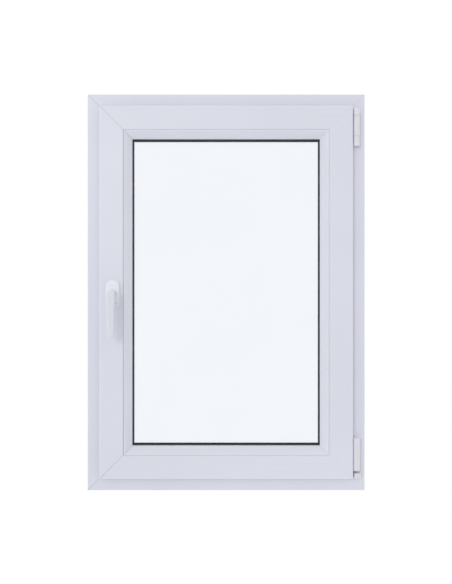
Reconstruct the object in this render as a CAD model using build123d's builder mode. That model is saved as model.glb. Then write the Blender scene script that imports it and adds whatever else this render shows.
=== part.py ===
from build123d import *
import os
from math import pi

# A tilt-and-turn casement window: a welded plastic frame, a glazed sash that turns on
# its right-hand side or tilts on its lower edge, and the fittings that carry and lock it.
# Millimetres. X runs along the window to the hinge side, Z is up, and the room is at -Y.
# The origin is under the middle of the frame's sill, half way through the frame's depth.
#
# Profiles are drawn in two coordinates: "inward", from the outside of the frame towards
# the glass, and "roomward", from the middle of the frame's depth towards the room.

# ---------------------------------------------------------------- driving dimensions
WIDTH = 700.0
HEIGHT = 1000.0

FRAME_DEPTH = 70.0
FRAME_BASE = 40.0          # outside of the frame to its fittings rebate
UPSTAND = 20.0             # weather upstand, beyond the fittings rebate
UPSTAND_T = 16.0
OVERLAP = 8.0              # sash lip over the frame
FITTING_GAP = 12.0         # between the frame's rebate and the sash's edge
SEAL_GAP = 4.0             # between the upstand and the sash
LIP_GAP = 4.0              # between the frame's room face and the sash lip
LIP_T = 16.0
SASH_BODY = 40.0           # sash edge to the floor of its glazing rebate
GLAZING_REBATE = 21.0
WEATHER_LIP_T = 15.0

WALL = 3.0
WEB = 1.5
CHAMBER_R = 0.6
EDGE_R = 3.0               # rounding of the sash's room edge
SMALL_R = 0.8
WELD_GROOVE = 0.45
STEEL_T = 1.5
STEEL_PLAY = 0.5

GLASS_T = 4.0
CAVITY = 16.0
GLASS_SET = 5.0            # glass edge above the glazing rebate's floor
SEAL_T = 3.0               # glazing seals, each side of the glass
SEALANT = 6.0
SPACER_H = 6.5
SPACER_T = 0.8

BEAD_GROOVE = 3.5
BEAD_GROOVE_DEPTH = 4.0
BEAD_SNAP = 0.3            # clearance of the bead's foot in its groove
BEAD_NOSE = 6.0            # thickness of the bead where it meets the glass seal
BEAD_LAND = 2.7            # flat edge of the bead beside the sash
BEAD_GAP = 0.5             # shadow gap between the bead and the sash, and its depth
BEAD_GAP_DEPTH = 2.0

GROOVE_AXIS = 13.0         # fittings groove, from the back of the sash lip
GROOVE_W = 16.0
GROOVE_FACE_DEPTH = 3.0
GROOVE_INNER_W = 12.0
GROOVE_DEPTH = 12.0
FACEPLATE_T = 2.5
FACEPLATE_PLAY = 0.2
ROD_W = 10.0
ROD_T = 2.4
ROD_PLAY = 0.3

BACKSET = 15.0             # handle spindle from the sash's edge
HANDLE_HEIGHT = 498.0
PINION_TEETH = 12
RACK_PITCH = 5.0
TOOTH_ADDENDUM = 0.95
TOOTH_CLEARANCE = 0.45
SPINDLE = 7.0
SCREW_SPACING = 43.0       # the two screws of the handle's rosette
ROSETTE_W = 33.0
ROSETTE_H = 65.0
ROSETTE_T = 10.0
ROSETTE_WALL = 2.0
LEVER_LENGTH = 110.0
LEVER_TOP_R = 10.5
LEVER_END_R = 8.0
LEVER_T = 14.0
HANDLE_PROUD = 50.0
NECK_R = 9.0

BARREL_R = 8.0
BARREL_GAP = 1.5           # between the sash's edge and a hinge barrel
HINGE_LEAF_T = 3.0
HINGE_PIN_R = 3.0
RUNNING = 0.05             # radial clearance of a pin that turns in its bore
KNUCKLE_PLAY = 0.4
STAY_TOP = 39.5            # top of the upper hinge below the top of the frame
STAY_KNUCKLE_TOP = 16.0
STAY_BARREL = 52.0
STAY_KNUCKLE_LOW = 21.5
STAY_REACH = 402.5
STAY_ARM_T = 3.0
STAY_ARM_W = 16.0
STAY_PIN_R = 2.5
STAY_SLOT = 10.0

PIVOT_HEIGHT = 40.0        # centre of the lower ball, about which the sash tilts
PIVOT_LOW = 34.0
PIVOT_TOP = 46.5
BALL_R = 2.8
BALL_PLAY = 0.1
PIVOT_PIN_R = 2.0
BUSH_R = 4.45
SLEEVE_LOW = 52.5
SLEEVE_TOP = 134.5
SLEEVE_R = 8.9
BAND_LOW = 62.0
BAND_TOP = 126.0
BAND_BARREL_R = 6.5

SCREW_R = 2.0
SCREW_HEAD_R = 3.6
SCREW_HEAD_T = 2.0
SCREW_LENGTH = 14.0
FIXING_R = 4.0             # holes for the wall screws
FIXING_LOW = 150.0
FIXING_SPACING = 700.0

# ---------------------------------------------------------------- derived levels
FRAME_ROOM = FRAME_DEPTH / 2
FRAME_OUT = -FRAME_DEPTH / 2
UPSTAND_FACE = FRAME_OUT + UPSTAND_T
UPSTAND_TOP = FRAME_BASE + UPSTAND
LIP_EDGE = FRAME_BASE - OVERLAP
LIP_BACK = FRAME_ROOM + LIP_GAP
SASH_ROOM = LIP_BACK + LIP_T
SASH_OUT = UPSTAND_FACE + SEAL_GAP
SASH_EDGE = FRAME_BASE + FITTING_GAP
REBATE_FLOOR = SASH_EDGE + SASH_BODY
SIGHT_LINE = REBATE_FLOOR + GLAZING_REBATE
GLASS_FACE = SASH_OUT + WEATHER_LIP_T            # room face of the weather lip
PANE_OUT = GLASS_FACE + SEAL_T
PANE_IN = PANE_OUT + GLASS_T + CAVITY
BEAD_BACK = PANE_IN + GLASS_T + SEAL_T
GLASS_EDGE = REBATE_FLOOR + GLASS_SET
SPACER_EDGE = GLASS_EDGE + SEALANT
BEAD_CATCH = BEAD_BACK + 4.0                     # outer wall of the bead's snap groove

GROOVE = LIP_BACK - GROOVE_AXIS
GROOVE_FLOOR = SASH_EDGE + GROOVE_DEPTH
FACE_BAND = (GROOVE - GROOVE_W / 2, GROOVE + GROOVE_W / 2)
INNER_BAND = (GROOVE - GROOVE_INNER_W / 2, GROOVE + GROOVE_INNER_W / 2)
ROD_BAND = (GROOVE - ROD_W / 2, GROOVE + ROD_W / 2)
ROD_FACE = SASH_EDGE + FACEPLATE_T + ROD_PLAY
ROD_BACK = ROD_FACE + ROD_T

HANDLE_X = -WIDTH / 2 + SASH_EDGE + BACKSET
PITCH_R = PINION_TEETH * RACK_PITCH / (2 * pi)
STROKE = PITCH_R * pi                            # rod travel for half a turn of the handle
PITCH_LINE = SASH_EDGE + BACKSET - PITCH_R

HINGE_X = WIDTH / 2 - LIP_EDGE + BARREL_GAP + BARREL_R
HINGE_ROOM = FRAME_ROOM + HINGE_LEAF_T + BARREL_R

# Each side of the window: a plane at its starting corner, with X inward, Y roomward and
# Z along the side, and its length.
SIDES = {
    "sill": (Plane((-WIDTH / 2, 0, 0), x_dir=(0, 0, 1), z_dir=(1, 0, 0)), WIDTH),
    "jamb_hinge": (Plane((WIDTH / 2, 0, 0), x_dir=(-1, 0, 0), z_dir=(0, 0, 1)), HEIGHT),
    "head": (Plane((WIDTH / 2, 0, HEIGHT), x_dir=(0, 0, -1), z_dir=(-1, 0, 0)), WIDTH),
    "jamb_lock": (Plane((-WIDTH / 2, 0, HEIGHT), x_dir=(1, 0, 0), z_dir=(0, 0, -1)), HEIGHT),
}

os.makedirs("parts", exist_ok=True)


# ---------------------------------------------------------------- helpers
def save(piece, label):
    """Label a finished sub-part and write its STEP file."""
    piece.part.label = label
    export_step(piece.part, f"parts/{label}.step")


def slab(x, room, z, mode=Mode.ADD):
    """A box from its limits along X, towards the room and along Z."""
    with Locations(((x[0] + x[1]) / 2, -(room[0] + room[1]) / 2, (z[0] + z[1]) / 2)):
        Box(x[1] - x[0], room[1] - room[0], z[1] - z[0], mode=mode)


def bar(side, along, inward, room, mode=Mode.ADD):
    """A box on one side of the window: its limits along the side, inward and roomward."""
    if side == "jamb_lock":
        slab((inward[0] - WIDTH / 2, inward[1] - WIDTH / 2), room, along, mode)
    elif side == "jamb_hinge":
        slab((WIDTH / 2 - inward[1], WIDTH / 2 - inward[0]), room, along, mode)
    elif side == "sill":
        slab(along, room, inward, mode)
    else:
        slab(along, room, (HEIGHT - inward[1], HEIGHT - inward[0]), mode)


def place(side, along, inward, room, facing):
    """A plane on one side of the window: facing 1 looks inward, -1 outward; its X runs along."""
    base = SIDES[side][0]
    start = base.origin.X if side in ("sill", "head") else base.origin.Z
    origin = base.origin + base.z_dir * abs(along - start)
    origin = origin + base.x_dir * inward + base.y_dir * room
    return Plane(origin, x_dir=base.z_dir, z_dir=base.x_dir * facing)


def room_plane(x, room, z):
    """A plane that faces the room, with X along the window and Y up."""
    return Plane((x, -room, z), x_dir=(1, 0, 0), z_dir=(0, -1, 0))


def level(z):
    """A horizontal plane centred on the hinge axis, facing up."""
    return Plane((HINGE_X, -HINGE_ROOM, z))


def post(radius, low, high, mode=Mode.ADD):
    """A round post on the hinge axis between two heights."""
    with Locations(level(low)):
        Cylinder(radius, high - low, align=(Align.CENTER, Align.CENTER, Align.MIN), mode=mode)


def chambers(*limits):
    """Hollow chambers in a section, each as inward and roomward limits."""
    for h0, h1, r0, r1 in limits:
        with Locations(((h0 + h1) / 2, (r0 + r1) / 2)):
            RectangleRounded(h1 - h0, r1 - r0, CHAMBER_R, mode=Mode.SUBTRACT)


def member(side, section):
    """One length of profile on a side of the window, mitred at both corners."""
    plane, length = SIDES[side]
    finish = plane.origin + plane.z_dir * length
    with BuildPart() as profile:
        with BuildSketch(plane):
            add(section)
        extrude(amount=length)
        split(bisect_by=Plane(plane.origin, z_dir=plane.z_dir - plane.x_dir), keep=Keep.TOP)
        split(bisect_by=Plane(finish, z_dir=-plane.z_dir - plane.x_dir), keep=Keep.TOP)
    return profile.part


def ring(section):
    """A profile that runs round all four sides as one piece."""
    with BuildPart() as whole:
        for side in SIDES:
            add(member(side, section))
    return whole.part


def weld_grooves(side, face):
    """Shallow V grooves where a member's mitres meet its room face."""
    plane, length = SIDES[side]
    for corner, along in ((plane.origin, plane.z_dir), (plane.origin + plane.z_dir * length, -plane.z_dir)):
        diagonal = along + plane.x_dir
        across = along - plane.x_dir
        line = Plane(
            corner + plane.y_dir * face, x_dir=diagonal, z_dir=across.normalized() + plane.y_dir
        )
        with Locations(line):
            Box(4 * REBATE_FLOOR, WELD_GROOVE, WELD_GROOVE, mode=Mode.SUBTRACT)


def drill(places, radius, depth):
    """Blind holes into the piece behind each place."""
    with Locations(*places):
        Cylinder(
            radius, depth, align=(Align.CENTER, Align.CENTER, Align.MAX), mode=Mode.SUBTRACT
        )


def screws(places, length=SCREW_LENGTH, radius=SCREW_R, head_r=SCREW_HEAD_R):
    """Cross-recessed pan-head screws, each with its head on a place and its shank behind."""
    with Locations(*places):
        Cylinder(head_r, SCREW_HEAD_T, align=(Align.CENTER, Align.CENTER, Align.MIN))
        Cylinder(radius, length, align=(Align.CENTER, Align.CENTER, Align.MAX))
    with Locations(*places):
        with Locations((0, 0, SCREW_HEAD_T)):
            Box(head_r, 0.8, SCREW_HEAD_T, mode=Mode.SUBTRACT)
            Box(0.8, head_r, SCREW_HEAD_T, mode=Mode.SUBTRACT)


# ---------------------------------------------------------------- profile sections
COUPLING_W = 6.0
COUPLING_DEPTH = 2.5
COUPLING_AT = 22.0
UPSTAND_SEAT = UPSTAND_FACE - 3.5                # floor of the frame seal's groove
FRAME_SEAL_AT = (UPSTAND_TOP - 9.0, UPSTAND_TOP - 5.0)
STEEL_BAND = (FRAME_OUT + 27.0, FRAME_ROOM - 12.5)
FRAME_SHELL = COUPLING_DEPTH + WALL

with BuildSketch() as frame_section:
    with BuildLine():
        FilletPolyline(
            (0, FRAME_OUT),
            (0, -COUPLING_AT - COUPLING_W / 2),
            (COUPLING_DEPTH, -COUPLING_AT - COUPLING_W / 2),
            (COUPLING_DEPTH, -COUPLING_AT + COUPLING_W / 2),
            (0, -COUPLING_AT + COUPLING_W / 2),
            (0, COUPLING_AT - COUPLING_W / 2),
            (COUPLING_DEPTH, COUPLING_AT - COUPLING_W / 2),
            (COUPLING_DEPTH, COUPLING_AT + COUPLING_W / 2),
            (0, COUPLING_AT + COUPLING_W / 2),
            (0, FRAME_ROOM),
            (FRAME_BASE, FRAME_ROOM),
            (FRAME_BASE, UPSTAND_FACE),
            (FRAME_SEAL_AT[0], UPSTAND_FACE),
            (FRAME_SEAL_AT[0], UPSTAND_SEAT),
            (FRAME_SEAL_AT[1], UPSTAND_SEAT),
            (FRAME_SEAL_AT[1], UPSTAND_FACE),
            (UPSTAND_TOP, UPSTAND_FACE),
            (UPSTAND_TOP, FRAME_OUT + 7.0),
            (UPSTAND_TOP - 4.0, FRAME_OUT),
            radius=[SMALL_R] + [0] * 8 + [1.0, 2.0] + [0] * 5 + [SMALL_R, 1.5, 1.5],
            close=True,
        )
    make_face()
    chambers(
        (FRAME_SHELL, FRAME_BASE - WALL, STEEL_BAND[1] + WEB, FRAME_ROOM - WALL),
        (FRAME_SHELL, FRAME_BASE - WALL, *STEEL_BAND),
        (FRAME_SHELL, FRAME_BASE - WALL, STEEL_BAND[0] - WEB - 10.0, STEEL_BAND[0] - WEB),
        (FRAME_SHELL, FRAME_BASE - WALL, FRAME_OUT + WALL, STEEL_BAND[0] - 2 * WEB - 10.0),
        (FRAME_BASE, UPSTAND_TOP - WALL, FRAME_OUT + WALL, UPSTAND_SEAT - WALL),
    )

LIP_SEAL_AT = (LIP_EDGE + 5.0, LIP_EDGE + 8.0)
LIP_SEAT = LIP_BACK + 3.0
OUTER_SEAL_AT = (SIGHT_LINE - 8.0, SIGHT_LINE - 4.0)
OUTER_SEAT = GLASS_FACE - 3.0
SASH_STEEL_BAND = (SASH_OUT + 11.0, FACE_BAND[0] - 2.5)

with BuildSketch() as sash_section:
    with BuildLine():
        FilletPolyline(
            (LIP_EDGE, LIP_BACK),
            (LIP_EDGE, SASH_ROOM),
            (REBATE_FLOOR, SASH_ROOM),
            (REBATE_FLOOR, BEAD_CATCH + BEAD_GROOVE),
            (REBATE_FLOOR - BEAD_GROOVE_DEPTH, BEAD_CATCH + BEAD_GROOVE),
            (REBATE_FLOOR - BEAD_GROOVE_DEPTH, BEAD_CATCH),
            (REBATE_FLOOR, BEAD_CATCH),
            (REBATE_FLOOR, GLASS_FACE),
            (OUTER_SEAL_AT[0], GLASS_FACE),
            (OUTER_SEAL_AT[0], OUTER_SEAT),
            (OUTER_SEAL_AT[1], OUTER_SEAT),
            (OUTER_SEAL_AT[1], GLASS_FACE),
            (SIGHT_LINE, GLASS_FACE),
            (SIGHT_LINE, SASH_OUT + 8.0),
            (SIGHT_LINE - 7.0, SASH_OUT),
            (SASH_EDGE, SASH_OUT),
            (SASH_EDGE, FACE_BAND[0]),
            (SASH_EDGE + GROOVE_FACE_DEPTH, FACE_BAND[0]),
            (SASH_EDGE + GROOVE_FACE_DEPTH, INNER_BAND[0]),
            (GROOVE_FLOOR, INNER_BAND[0]),
            (GROOVE_FLOOR, INNER_BAND[1]),
            (SASH_EDGE + GROOVE_FACE_DEPTH, INNER_BAND[1]),
            (SASH_EDGE + GROOVE_FACE_DEPTH, FACE_BAND[1]),
            (SASH_EDGE, FACE_BAND[1]),
            (SASH_EDGE, LIP_BACK),
            (LIP_SEAL_AT[1], LIP_BACK),
            (LIP_SEAL_AT[1], LIP_SEAT),
            (LIP_SEAL_AT[0], LIP_SEAT),
            (LIP_SEAL_AT[0], LIP_BACK),
            radius=[SMALL_R, EDGE_R, 0.5] + [0] * 9 + [0.5, 2.0, 2.0, 1.0] + [0] * 13,
            close=True,
        )
    make_face()
    chambers(
        (LIP_EDGE + WALL, SASH_EDGE - WEB, LIP_SEAT + WALL, SASH_ROOM - WALL),
        (SASH_EDGE, REBATE_FLOOR - WALL, LIP_SEAT + WALL, SASH_ROOM - WALL),
        (GROOVE_FLOOR + WALL, REBATE_FLOOR - BEAD_GROOVE_DEPTH - WALL, FACE_BAND[0], LIP_SEAT + WEB),
        (SASH_EDGE + WALL, REBATE_FLOOR - WALL, *SASH_STEEL_BAND),
        (SASH_EDGE + WALL, REBATE_FLOOR - WALL, SASH_OUT + WALL, SASH_STEEL_BAND[0] - WEB),
        (REBATE_FLOOR, OUTER_SEAL_AT[0] - WEB, SASH_OUT + WALL, OUTER_SEAT - WEB),
    )

with BuildSketch() as bead_section:
    with BuildLine():
        slope = FilletPolyline(
            (SIGHT_LINE, BEAD_BACK),
            (SIGHT_LINE, BEAD_BACK + BEAD_NOSE),
            (REBATE_FLOOR + BEAD_LAND, SASH_ROOM),
            (REBATE_FLOOR + BEAD_GAP, SASH_ROOM),
            (REBATE_FLOOR + BEAD_GAP, SASH_ROOM - BEAD_GAP_DEPTH),
            radius=[1.8, 3.0, 0.5],
        )
        Polyline(
            slope @ 1,
            (REBATE_FLOOR, SASH_ROOM - BEAD_GAP_DEPTH),
            (REBATE_FLOOR, BEAD_CATCH + BEAD_GROOVE - BEAD_SNAP),
            (REBATE_FLOOR - BEAD_GROOVE_DEPTH + BEAD_SNAP, BEAD_CATCH + BEAD_GROOVE - BEAD_SNAP),
            (REBATE_FLOOR - BEAD_GROOVE_DEPTH + BEAD_SNAP, BEAD_CATCH + BEAD_SNAP),
            (REBATE_FLOOR, BEAD_CATCH + BEAD_SNAP),
            (REBATE_FLOOR, BEAD_BACK),
            slope @ 0,
        )
    make_face()
    chambers((REBATE_FLOOR + WALL, SIGHT_LINE - 12.0, BEAD_BACK + WALL, SASH_ROOM - 12.0))


def tube_section(inward, room):
    """The section of a rectangular steel stiffener."""
    with BuildSketch() as tube:
        with Locations(((inward[0] + inward[1]) / 2, (room[0] + room[1]) / 2)):
            RectangleRounded(inward[1] - inward[0], room[1] - room[0], 2 * STEEL_T)
            RectangleRounded(
                inward[1] - inward[0] - 2 * STEEL_T,
                room[1] - room[0] - 2 * STEEL_T,
                STEEL_T,
                mode=Mode.SUBTRACT,
            )
    return tube.sketch


def seal_section(foot, bulb):
    """The section of a seal: a foot in its groove and a soft bulb on top of it."""
    with BuildSketch() as seal:
        for (h0, h1), (r0, r1), radius in (foot, bulb):
            with Locations(((h0 + h1) / 2, (r0 + r1) / 2)):
                RectangleRounded(h1 - h0, r1 - r0, radius)
    return seal.sketch


# ---------------------------------------------------------------- where fittings go
CAM_TRAVEL = STROKE
CORNER_LEG = 66.0
END_PLAY = 0.5
LOCK_SPAN = (SASH_EDGE + CORNER_LEG + END_PLAY, HEIGHT - SASH_EDGE - CORNER_LEG - END_PLAY)
RAIL_START = -WIDTH / 2 + SASH_EDGE + CORNER_LEG + END_PLAY
STAY_END_X = HINGE_X - STAY_REACH
TOP_SPAN = (RAIL_START, STAY_END_X - 44.0)
BOTTOM_SPAN = (RAIL_START, RAIL_START + 172.0)
CAMS = {
    "jamb_lock": (260.0, 760.0),
    "head": (RAIL_START + 72.0,),
    "sill": (RAIL_START + 60.0,),
}
TRAVEL = {"jamb_lock": -1, "head": -1, "sill": 1}    # way the cams move as the handle turns
CAM_R = 3.5
CAM_HEAD_R = 5.0
CAM_REACH = 7.2
KEEPER_T = 2.2
KEEPER_L = 54.0
KEEPER_LIP = 18.0
KEEPER_CLEAR = 1.5
KEEPER_SCREW = 21.0
FACE_SCREWS = {
    "jamb_lock": (LOCK_SPAN[0] + 40.0, 340.0, 640.0, LOCK_SPAN[1] - 40.0),
    "head": (TOP_SPAN[0] + 20.0,),
    "sill": (BOTTOM_SPAN[0] + 16.0, BOTTOM_SPAN[1] - 20.0),
}
FACE_SCREW_LENGTH = 17.0

keeper_places = {
    side: [place(side, at, FRAME_BASE, GROOVE, 1) for at in spots] for side, spots in CAMS.items()
}
keeper_holes = {
    side: [
        place(side, at + offset, FRAME_BASE + KEEPER_T, GROOVE, 1)
        for at in spots
        for offset in (-KEEPER_SCREW, KEEPER_SCREW)
    ]
    for side, spots in CAMS.items()
}
face_holes = {
    side: [place(side, at, SASH_EDGE, GROOVE, -1) for at in spots]
    for side, spots in FACE_SCREWS.items()
}

STAY_HIGH = HEIGHT - STAY_TOP
STAY_BARREL_TOP = STAY_HIGH - STAY_KNUCKLE_TOP - KNUCKLE_PLAY
STAY_BARREL_LOW = STAY_BARREL_TOP - STAY_BARREL
STAY_LOW = STAY_BARREL_LOW - KNUCKLE_PLAY - STAY_KNUCKLE_LOW
LEG_FACE = FRAME_BASE + HINGE_LEAF_T
stay_holes = [
    place("jamb_hinge", z, LEG_FACE, GROOVE, 1)
    for z in (STAY_LOW + 12.0, STAY_LOW + 40.0, STAY_HIGH - 18.0)
]
pivot_holes = [
    place("jamb_hinge", z, LEG_FACE, GROOVE, 1)
    for z in (PIVOT_HEIGHT + 14.0, PIVOT_HEIGHT + 32.0)
]
BAND_SCREW_LENGTH = 22.0
CLEAR_OF_MITRE = SASH_EDGE - HINGE_LEAF_T + BAND_SCREW_LENGTH + SCREW_R + 1.0
band_holes = [
    place("jamb_hinge", z, SASH_EDGE - HINGE_LEAF_T, GROOVE, -1)
    for z in (CLEAR_OF_MITRE, (CLEAR_OF_MITRE + BAND_TOP - 8.0) / 2, BAND_TOP - 8.0)
]
wall_holes = {
    side: [
        place(side, z, FRAME_BASE, 0, 1) for z in (FIXING_LOW, FIXING_LOW + FIXING_SPACING)
    ]
    for side in ("jamb_lock", "jamb_hinge")
}

# ---------------------------------------------------------------- frame
DRAIN_AT = (-220.0, 220.0)
DRAIN_L = 26.0
DRAIN_H = 5.0
DRAIN_Z = 22.0
DRAIN_ROOM = UPSTAND_FACE + 8.0

for side in SIDES:
    with BuildPart() as frame_member:
        add(member(side, frame_section.sketch))
        weld_grooves(side, FRAME_ROOM)
        if side in keeper_holes:
            drill(keeper_holes[side], SCREW_R, SCREW_LENGTH)
        if side in wall_holes:
            drill(wall_holes[side], FIXING_R, FRAME_BASE)
        if side == "jamb_hinge":
            drill(stay_holes + pivot_holes, SCREW_R, SCREW_LENGTH)
        if side == "sill":
            for x in DRAIN_AT:
                slot = (x - DRAIN_L / 2, x + DRAIN_L / 2)
                slab(slot, (FRAME_OUT, FRAME_OUT + WALL), (DRAIN_Z, DRAIN_Z + DRAIN_H), Mode.SUBTRACT)
                slab(
                    slot,
                    (DRAIN_ROOM - DRAIN_H, DRAIN_ROOM),
                    (FRAME_BASE - WALL, FRAME_BASE),
                    Mode.SUBTRACT,
                )
    save(frame_member, f"frame_{side}")

frame_steel = tube_section(
    (FRAME_SHELL + STEEL_PLAY, FRAME_BASE - WALL - STEEL_PLAY), STEEL_BAND
)
sash_steel = tube_section(
    (SASH_EDGE + WALL + STEEL_PLAY, REBATE_FLOOR - WALL - STEEL_PLAY), SASH_STEEL_BAND
)


def stiffener(side, section, setback):
    """A steel stiffener inside one side, cut square short of the mitres."""
    plane, length = SIDES[side]
    with BuildPart() as steel:
        with BuildSketch(plane.offset(setback)):
            add(section)
        extrude(amount=length - 2 * setback)
    return steel.part


with BuildPart() as frame_steels_jambs:
    for side in ("jamb_lock", "jamb_hinge"):
        add(stiffener(side, frame_steel, FRAME_BASE + 8.0))
        drill(wall_holes[side], FIXING_R, FRAME_BASE)
save(frame_steels_jambs, "frame_steel_jambs")

with BuildPart() as frame_steels_rails:
    for side in ("sill", "head"):
        add(stiffener(side, frame_steel, FRAME_BASE + 8.0))
save(frame_steels_rails, "frame_steel_rails")

with BuildPart() as frame_seal:
    add(
        ring(
            seal_section(
                ((FRAME_SEAL_AT[0] + 0.2, FRAME_SEAL_AT[1] - 0.2), (UPSTAND_SEAT, UPSTAND_FACE + 1.0), 0.5),
                ((FRAME_SEAL_AT[0] - 1.2, FRAME_SEAL_AT[1] + 1.2), (UPSTAND_FACE, SASH_OUT - 0.5), 1.6),
            )
        )
    )
save(frame_seal, "frame_seal")

CAP_L = 40.0
CAP_H = 13.0
CAP_T = 4.0
with BuildPart() as drain_caps:
    for x in DRAIN_AT:
        z = DRAIN_Z + DRAIN_H / 2
        with BuildSketch(Plane((x, -FRAME_OUT, z), x_dir=(1, 0, 0), z_dir=(0, 1, 0))):
            RectangleRounded(CAP_L, CAP_H, 3.0)
        extrude(amount=CAP_T)
        slab(
            (x - DRAIN_L / 2, x + DRAIN_L / 2),
            (FRAME_OUT - CAP_T + 1.2, FRAME_OUT),
            (z - CAP_H / 2, z + DRAIN_H / 2),
            Mode.SUBTRACT,
        )
save(drain_caps, "drain_caps")


# ---------------------------------------------------------------- keepers on the frame
def keeper(side, at):
    """A keeper: a plate on the rebate, and a hook past the rest place of its cam."""
    away = -TRAVEL[side]
    near = at + away * (CAM_HEAD_R + KEEPER_CLEAR)
    far = near + away * KEEPER_LIP
    hook = (min(near, far), max(near, far))
    bar(side, (at - KEEPER_L / 2, at + KEEPER_L / 2), (FRAME_BASE, FRAME_BASE + KEEPER_T), INNER_BAND)
    bar(side, hook, (FRAME_BASE, SASH_EDGE - 2.5), (GROOVE + 4.5, INNER_BAND[1] + 1.0))
    web = near + away * 5.0
    bar(
        side,
        (min(near, web), max(near, web)),
        (FRAME_BASE, SASH_EDGE - 4.0),
        (INNER_BAND[0], GROOVE + 4.5),
    )


with BuildPart() as lock_keepers:
    for side in ("jamb_lock", "head"):
        for at in CAMS[side]:
            keeper(side, at)
        drill(keeper_holes[side], SCREW_R, SCREW_LENGTH)
save(lock_keepers, "lock_keepers")

with BuildPart() as tilt_keeper:
    for at in CAMS["sill"]:
        keeper("sill", at)
    drill(keeper_holes["sill"], SCREW_R, SCREW_LENGTH)
save(tilt_keeper, "tilt_keeper")


# ---------------------------------------------------------------- hinges on the frame
LEG_ROOM = (GROOVE - 11.0, FRAME_ROOM)
LEG_X = (WIDTH / 2 - LEG_FACE, WIDTH / 2 - FRAME_BASE)

with BuildPart() as stay_bearing:
    knuckles = (
        (STAY_LOW, STAY_BARREL_LOW - KNUCKLE_PLAY),
        (STAY_BARREL_TOP + KNUCKLE_PLAY, STAY_HIGH),
    )
    for low, high in knuckles:
        post(BARREL_R, low, high)
        leaf_top = min(high, HEIGHT - LIP_SEAL_AT[1] - 1.6)
        slab((LEG_X[0], HINGE_X), (FRAME_ROOM, FRAME_ROOM + HINGE_LEAF_T), (low, leaf_top))
        slab((HINGE_X - 4.0, HINGE_X + 4.0), (FRAME_ROOM, HINGE_ROOM), (low, high))
    slab(LEG_X, LEG_ROOM, (STAY_LOW, HEIGHT - FRAME_BASE - 1.6))
    post(HINGE_PIN_R, STAY_LOW, STAY_HIGH, Mode.SUBTRACT)
    drill(stay_holes, SCREW_R, SCREW_LENGTH)
save(stay_bearing, "stay_bearing")

with BuildPart() as stay_pin:
    post(HINGE_PIN_R, STAY_LOW, STAY_HIGH - 1.0)
save(stay_pin, "stay_hinge_pin")

with BuildPart() as stay_caps:
    with BuildSketch(level(STAY_HIGH)):
        Circle(BARREL_R)
    extrude(amount=1.6)
    fillet(stay_caps.edges().filter_by(GeomType.CIRCLE).sort_by(Axis.Z)[-1], 1.2)
    with BuildSketch(level(STAY_LOW)):
        Circle(BARREL_R)
    extrude(amount=-2.4)
    fillet(stay_caps.edges().filter_by(GeomType.CIRCLE).sort_by(Axis.Z)[0], 1.8)
save(stay_caps, "stay_hinge_caps")

PIVOT_LEG_TOP = PIVOT_HEIGHT + 36.0
PIVOT_PLATE_LOW = PIVOT_HEIGHT + 3.0                # above the lip's seal as the sash tilts
PIVOT_PLATE_TOP = SLEEVE_LOW - 1.0
BLOCK_X = (HINGE_X - 6.0, HINGE_X + 11.0)
BLOCK_ROOM = HINGE_ROOM + 7.0
BUSH_LOW = PIVOT_LOW + 1.5
BUSH_TOP = PIVOT_TOP - 2.0

with BuildPart() as pivot_bearing:
    with BuildSketch(Plane.XY.offset(PIVOT_LOW)):
        with BuildLine():
            FilletPolyline(
                (BLOCK_X[0], -FRAME_ROOM),
                (BLOCK_X[0], -BLOCK_ROOM),
                (BLOCK_X[1], -BLOCK_ROOM),
                (BLOCK_X[1], -FRAME_ROOM),
                radius=[0, 4.0, 5.0, 0],
                close=True,
            )
        make_face()
    extrude(amount=PIVOT_TOP - PIVOT_LOW)
    slab(
        (LEG_X[0], BLOCK_X[0] + 1.0),
        (FRAME_ROOM, FRAME_ROOM + HINGE_LEAF_T),
        (PIVOT_PLATE_LOW, PIVOT_PLATE_TOP),
    )
    slab(LEG_X, LEG_ROOM, (PIVOT_PLATE_LOW, PIVOT_LEG_TOP))
    post(BUSH_R + RUNNING, BUSH_LOW, PIVOT_TOP, Mode.SUBTRACT)
    drill(pivot_holes, SCREW_R, SCREW_LENGTH)
save(pivot_bearing, "pivot_bearing")

with BuildPart() as frame_screws:
    screws([spot for spots in keeper_holes.values() for spot in spots] + stay_holes + pivot_holes)
save(frame_screws, "frame_screws")

# ---------------------------------------------------------------- turning bush
with BuildPart() as pivot_bush:
    post(BUSH_R, BUSH_LOW, BUSH_TOP)
    post(BALL_R + BALL_PLAY, PIVOT_HEIGHT, BUSH_TOP, Mode.SUBTRACT)
    with Locations(level(PIVOT_HEIGHT)):
        Sphere(BALL_R + BALL_PLAY, mode=Mode.SUBTRACT)
save(pivot_bush, "pivot_bush")

# ---------------------------------------------------------------- sash
GEAR_HALF = 58.0
GEAR_ROOM = (GROOVE - 7.0, GROOVE + 7.0)
GEAR_INWARD = (ROD_FACE - 0.2, SASH_EDGE + BACKSET + 14.5)
GEAR_PLAY = 0.2
handle_axis = room_plane(HANDLE_X, SASH_ROOM, HANDLE_HEIGHT)
handle_screw_places = [
    room_plane(HANDLE_X, SASH_ROOM, HANDLE_HEIGHT + offset)
    for offset in (-SCREW_SPACING / 2, SCREW_SPACING / 2)
]
HANDLE_SCREW_R = 2.5
HANDLE_SCREW_DEPTH = SASH_ROOM - GEAR_ROOM[0] - 3.0
SPINDLE_CLEAR = 6.0

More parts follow.
